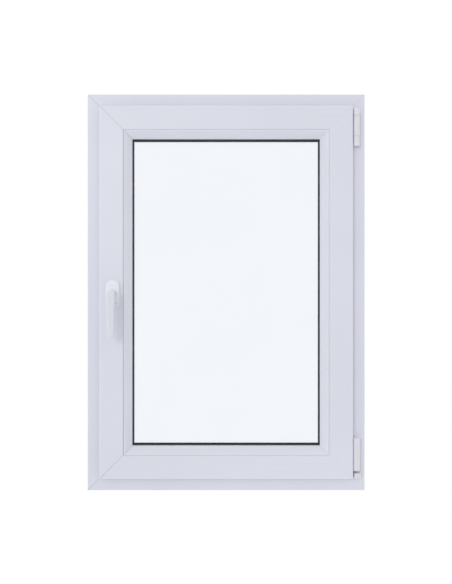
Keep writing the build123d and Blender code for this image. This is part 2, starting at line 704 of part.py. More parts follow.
for side in SIDES:
    with BuildPart() as sash_member:
        add(member(side, sash_section.sketch))
        weld_grooves(side, SASH_ROOM)
        if side in face_holes:
            drill(face_holes[side], SCREW_R, FACE_SCREW_LENGTH)
        if side == "jamb_hinge":
            drill(band_holes, SCREW_R, BAND_SCREW_LENGTH)
        if side == "jamb_lock":
            bar(
                side,
                (HANDLE_HEIGHT - GEAR_HALF - GEAR_PLAY, HANDLE_HEIGHT + GEAR_HALF + GEAR_PLAY),
                (SASH_EDGE, GEAR_INWARD[1] + GEAR_PLAY),
                (GEAR_ROOM[0] - GEAR_PLAY, GEAR_ROOM[1] + GEAR_PLAY),
                Mode.SUBTRACT,
            )
            drill([handle_axis], SPINDLE_CLEAR, SASH_ROOM - GEAR_ROOM[1])
            drill(handle_screw_places, HANDLE_SCREW_R, SASH_ROOM - GEAR_ROOM[1])
    save(sash_member, f"sash_{side}")

with BuildPart() as sash_steels_jambs:
    for side in ("jamb_lock", "jamb_hinge"):
        add(stiffener(side, sash_steel, REBATE_FLOOR + 4.0))
save(sash_steels_jambs, "sash_steel_jambs")

with BuildPart() as sash_steels_rails:
    for side in ("sill", "head"):
        add(stiffener(side, sash_steel, REBATE_FLOOR + 4.0))
save(sash_steels_rails, "sash_steel_rails")

SEAL_NOTCH_X = (WIDTH / 2 - LIP_SEAL_AT[1] - 2.0, WIDTH / 2 - LIP_EDGE + 1.0)
with BuildPart() as lip_seal:
    add(
        ring(
            seal_section(
                ((LIP_SEAL_AT[0] + 0.2, LIP_SEAL_AT[1] - 0.2), (LIP_BACK - 1.0, LIP_SEAT), 0.5),
                ((LIP_SEAL_AT[0], LIP_SEAL_AT[1] + 0.6), (FRAME_ROOM + 0.5, LIP_BACK), 1.4),
            )
        )
    )
    notches = (
        (PIVOT_HEIGHT + 0.6, BAND_TOP + 1.0),
        (STAY_LOW - 1.0, HEIGHT - LIP_SEAL_AT[1] - 1.5),
    )
    for low, high in notches:
        slab(SEAL_NOTCH_X, (FRAME_ROOM, LIP_SEAT + 1.0), (low, high), Mode.SUBTRACT)
save(lip_seal, "sash_lip_seal")

# ---------------------------------------------------------------- glazing
with BuildPart() as outer_seal:
    add(
        ring(
            seal_section(
                ((OUTER_SEAL_AT[0] + 0.2, OUTER_SEAL_AT[1] - 0.2), (OUTER_SEAT, GLASS_FACE + 1.0), 0.5),
                ((OUTER_SEAL_AT[0] - 2.0, SIGHT_LINE + 1.8), (GLASS_FACE, PANE_OUT), 1.0),
            )
        )
    )
save(outer_seal, "glazing_seal_outside")

with BuildPart() as bead_seal:
    add(
        ring(
            seal_section(
                ((SIGHT_LINE - 6.0, SIGHT_LINE + 2.4), (BEAD_BACK - SEAL_T, BEAD_BACK), 1.0),
                ((SIGHT_LINE + 0.2, SIGHT_LINE + 2.4), (BEAD_BACK - SEAL_T, BEAD_BACK + 1.2), 0.8),
            )
        )
    )
save(bead_seal, "glazing_seal_bead")

for label, back in (("glass_outside", PANE_OUT), ("glass_inside", PANE_IN)):
    with BuildPart() as pane:
        slab(
            (GLASS_EDGE - WIDTH / 2, WIDTH / 2 - GLASS_EDGE),
            (back, back + GLASS_T),
            (GLASS_EDGE, HEIGHT - GLASS_EDGE),
        )
        chamfer(pane.edges(), 0.4)
    save(pane, label)

CAVITY_BAND = (PANE_OUT + GLASS_T, PANE_IN)
with BuildPart() as spacer:
    add(ring(tube_section((SPACER_EDGE, SPACER_EDGE + SPACER_H), CAVITY_BAND)))
save(spacer, "spacer_bar")

with BuildSketch() as sealant_section:
    with Locations(((GLASS_EDGE + 0.5 + SPACER_EDGE) / 2, (CAVITY_BAND[0] + CAVITY_BAND[1]) / 2)):
        Rectangle(SEALANT - 0.5, CAVITY)
with BuildPart() as sealant:
    add(ring(sealant_section.sketch))
save(sealant, "edge_sealant")

PACKER_L = 80.0
PACKER_IN = GLASS_EDGE + 60.0
with BuildPart() as packers:
    for side, (_, length) in SIDES.items():
        start = -WIDTH / 2 if side in ("sill", "head") else 0.0
        for along in (start + PACKER_IN, start + length - PACKER_IN - PACKER_L):
            bar(side, (along, along + PACKER_L), (REBATE_FLOOR, GLASS_EDGE), (PANE_OUT, PANE_IN + GLASS_T))
save(packers, "glazing_packers")

for side in SIDES:
    with BuildPart() as bead:
        add(member(side, bead_section.sketch))
    save(bead, f"bead_{side}")

# ---------------------------------------------------------------- sash fittings
def cam_slot(side, at):
    """The slot that a cam runs along, with room at both ends."""
    ends = (at - TRAVEL[side] * (CAM_R + 1.0), at + TRAVEL[side] * (CAM_TRAVEL + CAM_R + 1.0))
    return min(ends), max(ends)


def faceplate(side, span):
    """A fitting's faceplate in the groove, with slots for its cams and holes for its screws."""
    bar(
        side,
        span,
        (SASH_EDGE, SASH_EDGE + FACEPLATE_T),
        (FACE_BAND[0] + FACEPLATE_PLAY, FACE_BAND[1] - FACEPLATE_PLAY),
    )
    for at in CAMS[side]:
        bar(
            side,
            cam_slot(side, at),
            (SASH_EDGE, SASH_EDGE + FACEPLATE_T),
            (GROOVE - CAM_R - 0.4, GROOVE + CAM_R + 0.4),
            Mode.SUBTRACT,
        )
    drill(face_holes[side], SCREW_R, FACE_SCREW_LENGTH)


def rod(side, span):
    """A drive rod behind its faceplate, slotted where the faceplate's screws pass."""
    bar(side, span, (ROD_FACE, ROD_BACK), ROD_BAND)
    for at in FACE_SCREWS[side]:
        ends = (at + TRAVEL[side] * (SCREW_R + 1.0), at - TRAVEL[side] * (CAM_TRAVEL + SCREW_R + 1.0))
        bar(
            side,
            (min(ends), max(ends)),
            (ROD_FACE, ROD_BACK),
            (GROOVE - SCREW_R - 0.5, GROOVE + SCREW_R + 0.5),
            Mode.SUBTRACT,
        )


def cams(side):
    """Mushroom cams on a rod, through the faceplate and into the fittings gap."""
    with Locations(*[place(side, at, ROD_FACE, GROOVE, -1) for at in CAMS[side]]):
        stem = ROD_FACE - SASH_EDGE + CAM_REACH
        Cylinder(CAM_R, stem, align=(Align.CENTER, Align.CENTER, Align.MIN))
        with Locations((0, 0, stem - 2.2)):
            Cylinder(CAM_HEAD_R, 2.2, align=(Align.CENTER, Align.CENTER, Align.MIN))


with BuildPart() as faceplate_lock:
    faceplate("jamb_lock", LOCK_SPAN)
save(faceplate_lock, "faceplate_lock")

with BuildPart() as faceplates_rails:
    faceplate("head", TOP_SPAN)
    faceplate("sill", BOTTOM_SPAN)
save(faceplates_rails, "faceplate_rails")

with BuildPart() as faceplate_screws:
    screws(
        [spot for spots in face_holes.values() for spot in spots], length=FACE_SCREW_LENGTH
    )
save(faceplate_screws, "faceplate_screws")

ROD_END = 4.0
with BuildPart() as lock_rod:
    rod("jamb_lock", (LOCK_SPAN[0] + CAM_TRAVEL + ROD_END, LOCK_SPAN[1] - ROD_END))
    # the rack's teeth are left between gaps cut across a thicker stretch of the rod
    first, last = -3, 10
    teeth_top = PITCH_LINE + TOOTH_ADDENDUM
    root = PITCH_LINE - TOOTH_ADDENDUM - TOOTH_CLEARANCE
    bar(
        "jamb_lock",
        (HANDLE_HEIGHT + (first - 0.5) * RACK_PITCH, HANDLE_HEIGHT + (last + 0.5) * RACK_PITCH),
        (ROD_FACE, teeth_top),
        (GROOVE - 4.0, GROOVE + 4.0),
    )
    for tooth in range(first, last + 1):
        z = HANDLE_HEIGHT + tooth * RACK_PITCH
        x = -WIDTH / 2
        with BuildSketch(room_plane(0, GROOVE - 5.5, 0)):
            with BuildLine():
                Polyline(
                    (x + root, z - 1.0),
                    (x + teeth_top + 0.5, z - 1.9),
                    (x + teeth_top + 0.5, z + 1.9),
                    (x + root, z + 1.0),
                    close=True,
                )
            make_face()
        extrude(amount=11.0, mode=Mode.SUBTRACT)
save(lock_rod, "lock_rod")

with BuildPart() as lock_cams:
    cams("jamb_lock")
save(lock_cams, "lock_cams")

with BuildPart() as top_rod:
    rod("head", (TOP_SPAN[0] + CAM_TRAVEL + ROD_END, TOP_SPAN[1] - ROD_END))
save(top_rod, "top_rod")

with BuildPart() as top_cam:
    cams("head")
save(top_cam, "top_cam")

with BuildPart() as bottom_rod:
    rod("sill", (BOTTOM_SPAN[0] + ROD_END, BOTTOM_SPAN[1] - CAM_TRAVEL - ROD_END))
save(bottom_rod, "bottom_rod")

with BuildPart() as bottom_cam:
    cams("sill")
save(bottom_cam, "tilt_cam")

# corner drives: an angle in the groove round each lock-side corner, hollow for its band
CHANNEL_T = 1.0
CHANNEL_PLAY = 0.3
CHANNEL_DEPTH = GROOVE_DEPTH - 1.0
corner_x = SASH_EDGE - WIDTH / 2
with BuildPart() as corner_drives:
    face_band = (FACE_BAND[0] + FACEPLATE_PLAY, FACE_BAND[1] - FACEPLATE_PLAY)
    channel_band = (INNER_BAND[0] + CHANNEL_PLAY, INNER_BAND[1] - CHANNEL_PLAY)
    hollow = (SASH_EDGE + FACEPLATE_T, SASH_EDGE + CHANNEL_DEPTH - CHANNEL_T)
    lining = (channel_band[0] + CHANNEL_T, channel_band[1] - CHANNEL_T)
    for z, up in ((SASH_EDGE, 1), (HEIGHT - SASH_EDGE, -1)):
        rail = "sill" if up > 0 else "head"
        upright = (min(z, z + up * CORNER_LEG), max(z, z + up * CORNER_LEG))
        for inward, band in (
            ((SASH_EDGE, SASH_EDGE + FACEPLATE_T), face_band),
            ((SASH_EDGE, SASH_EDGE + CHANNEL_DEPTH), channel_band),
        ):
            bar("jamb_lock", upright, inward, band)
            bar(rail, (corner_x, corner_x + CORNER_LEG), inward, band)
        ends = (z + up * FACEPLATE_T, z + up * CORNER_LEG)
        bar("jamb_lock", (min(ends), max(ends)), hollow, lining, Mode.SUBTRACT)
        bar(rail, (corner_x + FACEPLATE_T, corner_x + CORNER_LEG), hollow, lining, Mode.SUBTRACT)
save(corner_drives, "corner_drives")

BAND_STRIP_T = 0.8
BAND_AT = FACEPLATE_T + 2.4
with BuildPart() as corner_bands:
    for z, up in ((SASH_EDGE, 1), (HEIGHT - SASH_EDGE, -1)):
        with BuildSketch(room_plane(corner_x, GROOVE - 4.0, z)):
            with BuildLine():
                FilletPolyline(
                    (BAND_AT, up * (CORNER_LEG - 6.0)),
                    (BAND_AT, up * BAND_AT),
                    (CORNER_LEG - 6.0, up * BAND_AT),
                    radius=4.0,
                )
            trace(line_width=BAND_STRIP_T)
        extrude(amount=8.0)
save(corner_bands, "corner_bands")

GUIDE_SPAN = (STAY_END_X - 40.0, STAY_END_X + 40.0)
with BuildPart() as stay_guide:
    bar("head", GUIDE_SPAN, (SASH_EDGE, SASH_EDGE + GROOVE_FACE_DEPTH), (FACE_BAND[0], FACE_BAND[1]))
    bar("head", GUIDE_SPAN, (SASH_EDGE, GROOVE_FLOOR), INNER_BAND)
    bar(
        "head",
        (STAY_END_X - STAY_PIN_R - 4.0, STAY_END_X + STAY_PIN_R + 18.0),
        (SASH_EDGE, GROOVE_FLOOR - 0.6),
        (GROOVE - STAY_SLOT / 2, GROOVE + STAY_SLOT / 2),
        Mode.SUBTRACT,
    )
save(stay_guide, "stay_guide")

# ---------------------------------------------------------------- gearbox and handle
gear_plane = room_plane(HANDLE_X, GROOVE - 4.0, HANDLE_HEIGHT)
GEAR_T = 8.0
TOOTH_BASE = 3.1
TOOTH_H = 2 * TOOTH_ADDENDUM + TOOTH_CLEARANCE
with BuildPart() as gearbox:
    bar("jamb_lock", (HANDLE_HEIGHT - GEAR_HALF, HANDLE_HEIGHT + GEAR_HALF), GEAR_INWARD, GEAR_ROOM)
    bar(
        "jamb_lock",
        (HANDLE_HEIGHT - GEAR_HALF, HANDLE_HEIGHT + GEAR_HALF),
        (GEAR_INWARD[0], PITCH_LINE + TOOTH_ADDENDUM + 0.5),
        (ROD_BAND[0] - 0.4, ROD_BAND[1] + 0.4),
        Mode.SUBTRACT,
    )
    with BuildSketch(gear_plane.offset(-0.5)):
        Circle(PITCH_R + TOOTH_ADDENDUM + 0.8)
    extrude(amount=GEAR_T + 1.0, mode=Mode.SUBTRACT)
    with BuildSketch(gear_plane.offset(GEAR_T)):
        Circle(SPINDLE * 0.78)
    extrude(amount=GEAR_ROOM[1] - GROOVE, mode=Mode.SUBTRACT)
    drill(handle_screw_places, HANDLE_SCREW_R, HANDLE_SCREW_DEPTH + 0.5)
save(gearbox, "gearbox_case")

with BuildPart() as pinion:
    with BuildSketch(gear_plane):
        Circle(PITCH_R - TOOTH_ADDENDUM - TOOTH_CLEARANCE)
        with PolarLocations(0, PINION_TEETH, start_angle=180):
            with Locations((PITCH_R + TOOTH_ADDENDUM, 0)):
                Trapezoid(TOOTH_BASE, TOOTH_H, 66, rotation=-90, align=(Align.CENTER, Align.MAX))
        Rectangle(SPINDLE, SPINDLE, mode=Mode.SUBTRACT)
    extrude(amount=GEAR_T)
save(pinion, "gearbox_pinion")

SPINDLE_END = SASH_ROOM + HANDLE_PROUD - LEVER_T - 2.0
with BuildPart() as spindle:
    slab(
        (HANDLE_X - SPINDLE / 2, HANDLE_X + SPINDLE / 2),
        (GROOVE - 4.0, SPINDLE_END),
        (HANDLE_HEIGHT - SPINDLE / 2, HANDLE_HEIGHT + SPINDLE / 2),
    )
save(spindle, "handle_spindle")

BASE_T = 4.0
COVER_R = 6.0
TOP_R = ROSETTE_W / 2 - 0.1


def rosette_outline(inset):
    """Corner points and radii of the rosette, pulled in by an inset."""
    x, z = ROSETTE_W / 2 - inset, ROSETTE_H / 2 - inset
    points = ((-x, -z), (x, -z), (x, z), (-x, z))
    return points, [COVER_R - inset, COVER_R - inset, TOP_R - inset, TOP_R - inset]


with BuildPart() as rosette_base:
    points, radii = rosette_outline(ROSETTE_WALL + 0.2)
    with BuildSketch(handle_axis):
        with BuildLine():
            FilletPolyline(*points, radius=radii, close=True)
        make_face()
        Circle(NECK_R + 0.4, mode=Mode.SUBTRACT)
    extrude(amount=BASE_T)
    with Locations(*handle_screw_places):
        Cylinder(HANDLE_SCREW_R, 2 * BASE_T, mode=Mode.SUBTRACT)
save(rosette_base, "rosette_base")

with BuildPart() as rosette_cover:
    points, radii = rosette_outline(0)
    with BuildSketch(handle_axis):
        with BuildLine():
            FilletPolyline(*points, radius=radii, close=True)
        make_face()
    extrude(amount=ROSETTE_T)
    fillet(rosette_cover.faces().sort_by(Axis.Y)[0].edges(), 1.8)
    points, radii = rosette_outline(ROSETTE_WALL)
    with BuildSketch(handle_axis):
        with BuildLine():
            FilletPolyline(*points, radius=radii, close=True)
        make_face()
    extrude(amount=ROSETTE_T - ROSETTE_WALL, mode=Mode.SUBTRACT)
    with BuildSketch(handle_axis):
        Circle(NECK_R + 0.4)
    extrude(amount=ROSETTE_T, mode=Mode.SUBTRACT)
save(rosette_cover, "rosette_cover")

with BuildPart() as handle_screws:
    screws(
        [spot.offset(BASE_T) for spot in handle_screw_places],
        length=BASE_T + HANDLE_SCREW_DEPTH,
        radius=HANDLE_SCREW_R,
        head_r=4.4,
    )
save(handle_screws, "handle_screws")

with BuildPart() as lever:
    with BuildSketch(handle_axis.offset(HANDLE_PROUD - LEVER_T)):
        Circle(LEVER_TOP_R)
        with Locations((0, LEVER_END_R - LEVER_LENGTH)):
            Circle(LEVER_END_R)
        make_hull()
    extrude(amount=LEVER_T)
    front = lever.faces().sort_by(Axis.Y)[0]
    back = lever.faces().sort_by(Axis.Y)[-1]
    fillet(front.edges() + back.edges(), 3.5)
    with BuildSketch(handle_axis.offset(BASE_T + 0.5)):
        Circle(NECK_R)
    extrude(amount=HANDLE_PROUD - LEVER_T - BASE_T + 1.0)
    slab(
        (HANDLE_X - SPINDLE / 2, HANDLE_X + SPINDLE / 2),
        (SASH_ROOM, SPINDLE_END),
        (HANDLE_HEIGHT - SPINDLE / 2, HANDLE_HEIGHT + SPINDLE / 2),
        Mode.SUBTRACT,
    )
save(lever, "handle_lever")

# ---------------------------------------------------------------- hinges on the sash
with BuildPart() as sash_band:
    post(BAND_BARREL_R, BAND_LOW - 6.0, BAND_TOP + 4.0)
    slab((WIDTH / 2 - SASH_EDGE, HINGE_X), (LIP_BACK - HINGE_LEAF_T, LIP_BACK), (BAND_LOW, BAND_TOP))
    bar(
        "jamb_hinge",
        (BAND_LOW, BAND_TOP),
        (SASH_EDGE - HINGE_LEAF_T, SASH_EDGE),
        (GROOVE - 10.0, LIP_BACK),
    )
    slab((HINGE_X - 3.0, HINGE_X + 3.0), (LIP_BACK - HINGE_LEAF_T, HINGE_ROOM), (BAND_LOW, BAND_TOP))
    post(PIVOT_PIN_R, BAND_LOW - 6.0, BAND_LOW + 20.0, Mode.SUBTRACT)
    drill(band_holes, SCREW_R, BAND_SCREW_LENGTH)
save(sash_band, "sash_hinge_band")

with BuildPart() as ball_pin:
    with Locations(level(PIVOT_HEIGHT)):
        Sphere(BALL_R)
    post(PIVOT_PIN_R, PIVOT_HEIGHT, BAND_LOW + 20.0)
save(ball_pin, "sash_ball_pin")

with BuildPart() as sleeve:
    post(SLEEVE_R, SLEEVE_LOW, SLEEVE_TOP)
    fillet(sleeve.faces().sort_by(Axis.Z)[-1].edges(), 1.5)
    post(BAND_BARREL_R, SLEEVE_LOW, BAND_TOP + 4.0, Mode.SUBTRACT)
    slab(
        (HINGE_X - SLEEVE_R - 1.0, HINGE_X + 3.0),
        (LIP_BACK - HINGE_LEAF_T - 2.0, LIP_BACK),
        (SLEEVE_LOW, BAND_TOP),
        Mode.SUBTRACT,
    )
    slab(
        (HINGE_X - 3.0, HINGE_X + 3.0),
        (LIP_BACK - HINGE_LEAF_T, HINGE_ROOM),
        (SLEEVE_LOW, BAND_TOP),
        Mode.SUBTRACT,
    )
save(sleeve, "sash_hinge_sleeve")

with BuildPart() as band_screws:
    screws(band_holes, length=BAND_SCREW_LENGTH)
save(band_screws, "sash_hinge_screws")

# ---------------------------------------------------------------- stay arm
ARM_LOW = HEIGHT - SASH_EDGE + 5.0
ARM_X0 = WIDTH / 2 - LEG_FACE - SCREW_HEAD_T - 1.0 - HINGE_LEAF_T     # clear of the screw heads
ARM_GAP = 0.5
STAY_BORE_R = HINGE_PIN_R + RUNNING
STAY_TUBE_R = 5.6
with BuildPart() as stay_arm:
    post(STAY_TUBE_R, STAY_BARREL_LOW, STAY_BARREL_TOP)
    leaf_room = (FRAME_ROOM + ARM_GAP, FRAME_ROOM + ARM_GAP + HINGE_LEAF_T)
    arm_leaf = (STAY_BARREL_LOW + 1.0, STAY_BARREL_TOP - 1.0)
    slab((ARM_X0, HINGE_X), leaf_room, arm_leaf)
    slab((HINGE_X - 2.5, HINGE_X + 2.5), (leaf_room[0], HINGE_ROOM), arm_leaf)
    slab(
        (ARM_X0, ARM_X0 + HINGE_LEAF_T),
        (GROOVE - STAY_ARM_W / 2, leaf_room[1]),
        (arm_leaf[0], ARM_LOW + STAY_ARM_T),
    )
    with BuildSketch(Plane.XY.offset(ARM_LOW)):
        with Locations(((STAY_END_X + ARM_X0) / 2, -GROOVE)):
            SlotCenterToCenter(ARM_X0 - STAY_END_X, STAY_ARM_W)
    extrude(amount=STAY_ARM_T)
    slab(
        (ARM_X0 + HINGE_LEAF_T, ARM_X0 + 30.0),
        (0, FRAME_ROOM),
        (ARM_LOW - 1.0, ARM_LOW + 10.0),
        Mode.SUBTRACT,
    )
    post(STAY_BORE_R, STAY_BARREL_LOW, STAY_BARREL_TOP, Mode.SUBTRACT)
    with Locations((STAY_END_X, -GROOVE, ARM_LOW)):
        Cylinder(STAY_PIN_R, 4 * STAY_ARM_T, mode=Mode.SUBTRACT)
save(stay_arm, "stay_arm")

with BuildPart() as stay_sleeve:
    post(BARREL_R, STAY_BARREL_LOW, STAY_BARREL_TOP)
    post(STAY_TUBE_R, STAY_BARREL_LOW, STAY_BARREL_TOP, Mode.SUBTRACT)
    leaf_heights = (STAY_BARREL_LOW, STAY_BARREL_TOP - 1.0)
    slab(
        (HINGE_X - BARREL_R, HINGE_X + 2.5),
        (HINGE_ROOM - BARREL_R - 1.0, leaf_room[1]),
        leaf_heights,
        Mode.SUBTRACT,
    )
    slab((HINGE_X - 2.5, HINGE_X + 2.5), (leaf_room[0], HINGE_ROOM), leaf_heights, Mode.SUBTRACT)
save(stay_sleeve, "stay_hinge_sleeve")

with BuildPart() as stay_slider:
    with Locations((STAY_END_X, -GROOVE, ARM_LOW + STAY_ARM_T)):
        Cylinder(STAY_PIN_R, 15.0 + STAY_ARM_T, align=(Align.CENTER, Align.CENTER, Align.MAX))
    with Locations((STAY_END_X, -GROOVE, ARM_LOW + STAY_ARM_T)):
        Cylinder(STAY_PIN_R + 2.0, 1.2, align=(Align.CENTER, Align.CENTER, Align.MIN))
save(stay_slider, "stay_slider_pin")
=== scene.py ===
from math import cos, pi, radians, sin

import bmesh
import bpy
from mathutils import Matrix, Vector


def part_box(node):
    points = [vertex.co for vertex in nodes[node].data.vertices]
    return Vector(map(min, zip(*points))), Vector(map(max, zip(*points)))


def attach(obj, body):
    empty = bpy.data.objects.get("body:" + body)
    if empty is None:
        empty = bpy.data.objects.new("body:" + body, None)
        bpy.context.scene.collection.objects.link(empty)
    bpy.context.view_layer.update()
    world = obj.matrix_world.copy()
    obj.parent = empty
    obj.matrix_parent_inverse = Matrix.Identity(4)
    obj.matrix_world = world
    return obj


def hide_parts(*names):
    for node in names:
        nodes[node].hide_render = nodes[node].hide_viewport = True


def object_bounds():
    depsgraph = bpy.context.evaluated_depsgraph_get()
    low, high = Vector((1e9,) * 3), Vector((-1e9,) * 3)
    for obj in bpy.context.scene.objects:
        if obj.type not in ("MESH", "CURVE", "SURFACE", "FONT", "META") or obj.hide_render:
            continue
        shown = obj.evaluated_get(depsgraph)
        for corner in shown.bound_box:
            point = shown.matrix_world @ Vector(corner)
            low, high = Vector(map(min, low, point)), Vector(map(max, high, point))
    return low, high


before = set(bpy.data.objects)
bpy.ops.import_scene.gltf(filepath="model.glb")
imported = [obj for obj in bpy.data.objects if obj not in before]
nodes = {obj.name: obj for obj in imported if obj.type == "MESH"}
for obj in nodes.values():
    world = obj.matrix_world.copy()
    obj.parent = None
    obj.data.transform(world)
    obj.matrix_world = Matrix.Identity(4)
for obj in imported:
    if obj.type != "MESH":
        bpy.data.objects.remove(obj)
cad_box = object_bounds()
scene = bpy.context.scene
MM = 0.001
MERGE = 0.002 * MM
HALF_HEIGHT = cad_box[1].z / 2
CORNER_OFFSET = HALF_HEIGHT - cad_box[1].x       # height less width, from centre to mitre
lock_bead = nodes["bead_jamb_lock"].data.vertices
room_face = min(v.co.y for v in lock_bead)
LOCK_BEAD_EDGE = -min(v.co.x for v in lock_bead if v.co.y < room_face + 1.0 * MM)


# ---------------------------------------------------------------- finishes
class Finish:
    """One node-built finish on object coordinates, with a few short words for its nodes."""

    def __init__(self, name, **constants):
        self.material = bpy.data.materials.new(name)
        self.material.use_nodes = True
        self.tree = self.material.node_tree
        self.shader = next(n for n in self.tree.nodes if n.type == "BSDF_PRINCIPLED")
        for socket, value in constants.items():
            self.shader.inputs[socket.replace("_", " ")].default_value = value
        self.place = self.node("ShaderNodeTexCoord").outputs["Object"]

    def node(self, kind, settings=None, **inputs):
        made = self.tree.nodes.new(kind)
        for name, value in (settings or {}).items():
            setattr(made, name, value)
        for name, value in inputs.items():
            socket = made.inputs[name.replace("_", " ")]
            if isinstance(value, bpy.types.NodeSocket):
                self.tree.links.new(value, socket)
            else:
                socket.default_value = value
        return made

    def stretched(self, scale):
        return self.node("ShaderNodeMapping", Vector=self.place, Scale=scale).outputs["Vector"]

    def noise(self, scale, detail=3.0, roughness=0.55, at=None):
        made = self.node(
            "ShaderNodeTexNoise",
            Vector=at or self.place,
            Scale=scale,
            Detail=detail,
            Roughness=roughness,
        )
        return made.outputs["Fac"]

    def cells(self, scale, feature="F1", output="Distance"):
        made = self.node(
            "ShaderNodeTexVoronoi", {"feature": feature}, Vector=self.place, Scale=scale
        )
        return made.outputs[output]

    def ramp(self, value, *stops):
        made = self.node("ShaderNodeValToRGB", Fac=value)
        while len(made.color_ramp.elements) < len(stops):
            made.color_ramp.elements.new(0.5)
        for element, (position, colour) in zip(made.color_ramp.elements, stops):
            element.position = position
            element.color = (*colour, 1.0)
        return made.outputs["Color"]

    def spread(self, value, low, high, out_low, out_high):
        made = self.node(
            "ShaderNodeMapRange",
            Value=value,
            From_Min=low,
            From_Max=high,
            To_Min=out_low,
            To_Max=out_high,
        )
        return made.outputs["Result"]

    def blend(self, share, first, second):
        made = self.tree.nodes.new("ShaderNodeMix")
        made.data_type = "RGBA"
        for socket, value in (
            (made.inputs[0], share),
            (made.inputs[6], first),
            (made.inputs[7], second),
        ):
            if isinstance(value, bpy.types.NodeSocket):
                self.tree.links.new(value, socket)
            else:
                socket.default_value = (*value, 1.0) if isinstance(value, tuple) else value
        return made.outputs[2]

    def sum(self, first, second, how="ADD"):
        made = self.tree.nodes.new("ShaderNodeMath")
        made.operation = how
        for socket, value in zip(made.inputs, (first, second)):
            if isinstance(value, bpy.types.NodeSocket):
                self.tree.links.new(value, socket)
            else:
                socket.default_value = value
        return made.outputs[0]

    def bumps(self, *layers):
        """Layers of relief, each a height from 0 to 1 and its depth in millimetres."""
        below = None
        for height, depth in layers:
            made = self.node("ShaderNodeBump", Height=height, Strength=1.0, Distance=depth * MM)
            if below is not None:
                self.tree.links.new(below, made.inputs["Normal"])
            below = made.outputs["Normal"]
        self.tree.links.new(below, self.shader.inputs["Normal"])

    def use(self, **links):
        for name, value in links.items():
            self.tree.links.new(value, self.shader.inputs[name.replace("_", " ")])
        return self.material


def shade(colour, by):
    """A colour made lighter or darker by a factor."""
    return tuple(c * by for c in colour)


def weld_painted_shade(finish):
    """A dark line along the corner welds, painted shade of the weld groove, heavier on the lock
    side where the light from the left falls across it: 1 on the mitre, 0 off it.
    """
    split = finish.node("ShaderNodeSeparateXYZ", Vector=finish.place)
    x, z = split.outputs["X"], split.outputs["Z"]
    from_middle = finish.sum(finish.sum(z, HALF_HEIGHT, "SUBTRACT"), 0.0, "ABSOLUTE")
    from_centre = finish.sum(x, 0.0, "ABSOLUTE")
    off = finish.sum(finish.sum(from_middle, from_centre, "SUBTRACT"), CORNER_OFFSET, "SUBTRACT")
    line = finish.spread(finish.sum(off, 0.0, "ABSOLUTE"), 0.0004, 0.0011, 1.0, 0.0)
    # painted shade: the weld lines are darker on the lock side, where the light from the left falls
    # across them
    side = finish.spread(x, -0.1, 0.1, 0.72, 0.07)
    broken = finish.spread(finish.noise(90.0, 3.0), 0.25, 0.6, 0.6, 1.0)
    return finish.sum(finish.sum(line, side, "MULTIPLY"), broken, "MULTIPLY")


def joint_painted_shade(finish):
    """Painted shade in the open joint beside the lock-side bead, where the gap falls dark: 1 in the
    joint, 0 off it.
    """
    split = finish.node("ShaderNodeSeparateXYZ", Vector=finish.place)
    off = finish.sum(split.outputs["X"], -LOCK_BEAD_EDGE, "SUBTRACT")
    return finish.spread(finish.sum(off, 0.0, "ABSOLUTE"), 0.0009, 0.0018, 0.50, 0.0)


def drawn_out(along, slow, fine):
    """Scales for marks that run the length of a profile: slow along it, fine across it."""
    return (slow, fine, fine) if along == "x" else (fine, fine, slow)


def extruded_plastic(name, colour, along, gloss=0.3):
    """Window plastic: faint draw lines along the profile, a fine grain, and a few rub marks."""
    finish = Finish(name, IOR=1.5, Specular_IOR_Level=0.45)
    lines = finish.noise(1.0, 4.0, at=finish.stretched(drawn_out(along, 2.2, 420.0)))
    broad = finish.noise(1.0, 2.0, at=finish.stretched(drawn_out(along, 3.0, 60.0)))
    rub_at = finish.stretched(drawn_out(along, 9.0, 140.0))
    cloud = finish.noise(5.0, 3.0)
    rubs = finish.spread(finish.noise(1.0, 5.0, 0.7, rub_at), 0.62, 0.74, 0.0, 1.0)
    grain = finish.noise(3200.0, 1.0)
    tone = finish.ramp(cloud, (0.3, shade(colour, 0.975)), (0.7, shade(colour, 1.015)))
    tone = finish.blend(finish.spread(broad, 0.35, 0.65, 0.0, 0.3), tone, shade(colour, 0.985))
    tone = finish.blend(finish.sum(rubs, 0.10, "MULTIPLY"), tone, shade(colour, 0.86))
    dull = finish.spread(lines, 0.3, 0.7, gloss - 0.05, gloss + 0.07)
    dull = finish.sum(dull, finish.sum(rubs, 0.16, "MULTIPLY"))
    weld_shade_mask = weld_painted_shade(finish)
    # painted shade: the weld lines darkened to 0.60 of the plastic's colour
    tone = finish.blend(weld_shade_mask, tone, shade(colour, 0.60))
    if name.startswith("bead"):
        # painted shade: the bead's edge at the lock-side joint darkened to 0.40 of its colour
        tone = finish.blend(joint_painted_shade(finish), tone, shade(colour, 0.40))
    finish.bumps((lines, 0.012), (grain, 0.004), (cloud, 0.25))
    return finish.use(Base_Color=tone, Roughness=dull)


def moulded_plastic(name, colour, gloss=0.36, grain_depth=0.012):
    """Injection-moulded plastic: an even fine texture with a slightly uneven sheen."""
    finish = Finish(name, IOR=1.5, Specular_IOR_Level=0.45)
    spark = finish.noise(1500.0, 2.0)
    flow = finish.noise(38.0, 3.0)
    handled = finish.spread(finish.noise(95.0, 4.0, 0.65), 0.55, 0.75, 0.0, 1.0)
    tone = finish.ramp(flow, (0.3, shade(colour, 0.97)), (0.7, shade(colour, 1.02)))
    tone = finish.blend(finish.sum(handled, 0.12, "MULTIPLY"), tone, shade(colour, 0.88))
    dull = finish.sum(
        finish.spread(spark, 0.3, 0.7, gloss - 0.04, gloss + 0.05),
        finish.sum(handled, 0.08, "MULTIPLY"),
    )
    finish.bumps((spark, grain_depth), (flow, 0.06))
    return finish.use(Base_Color=tone, Roughness=dull)


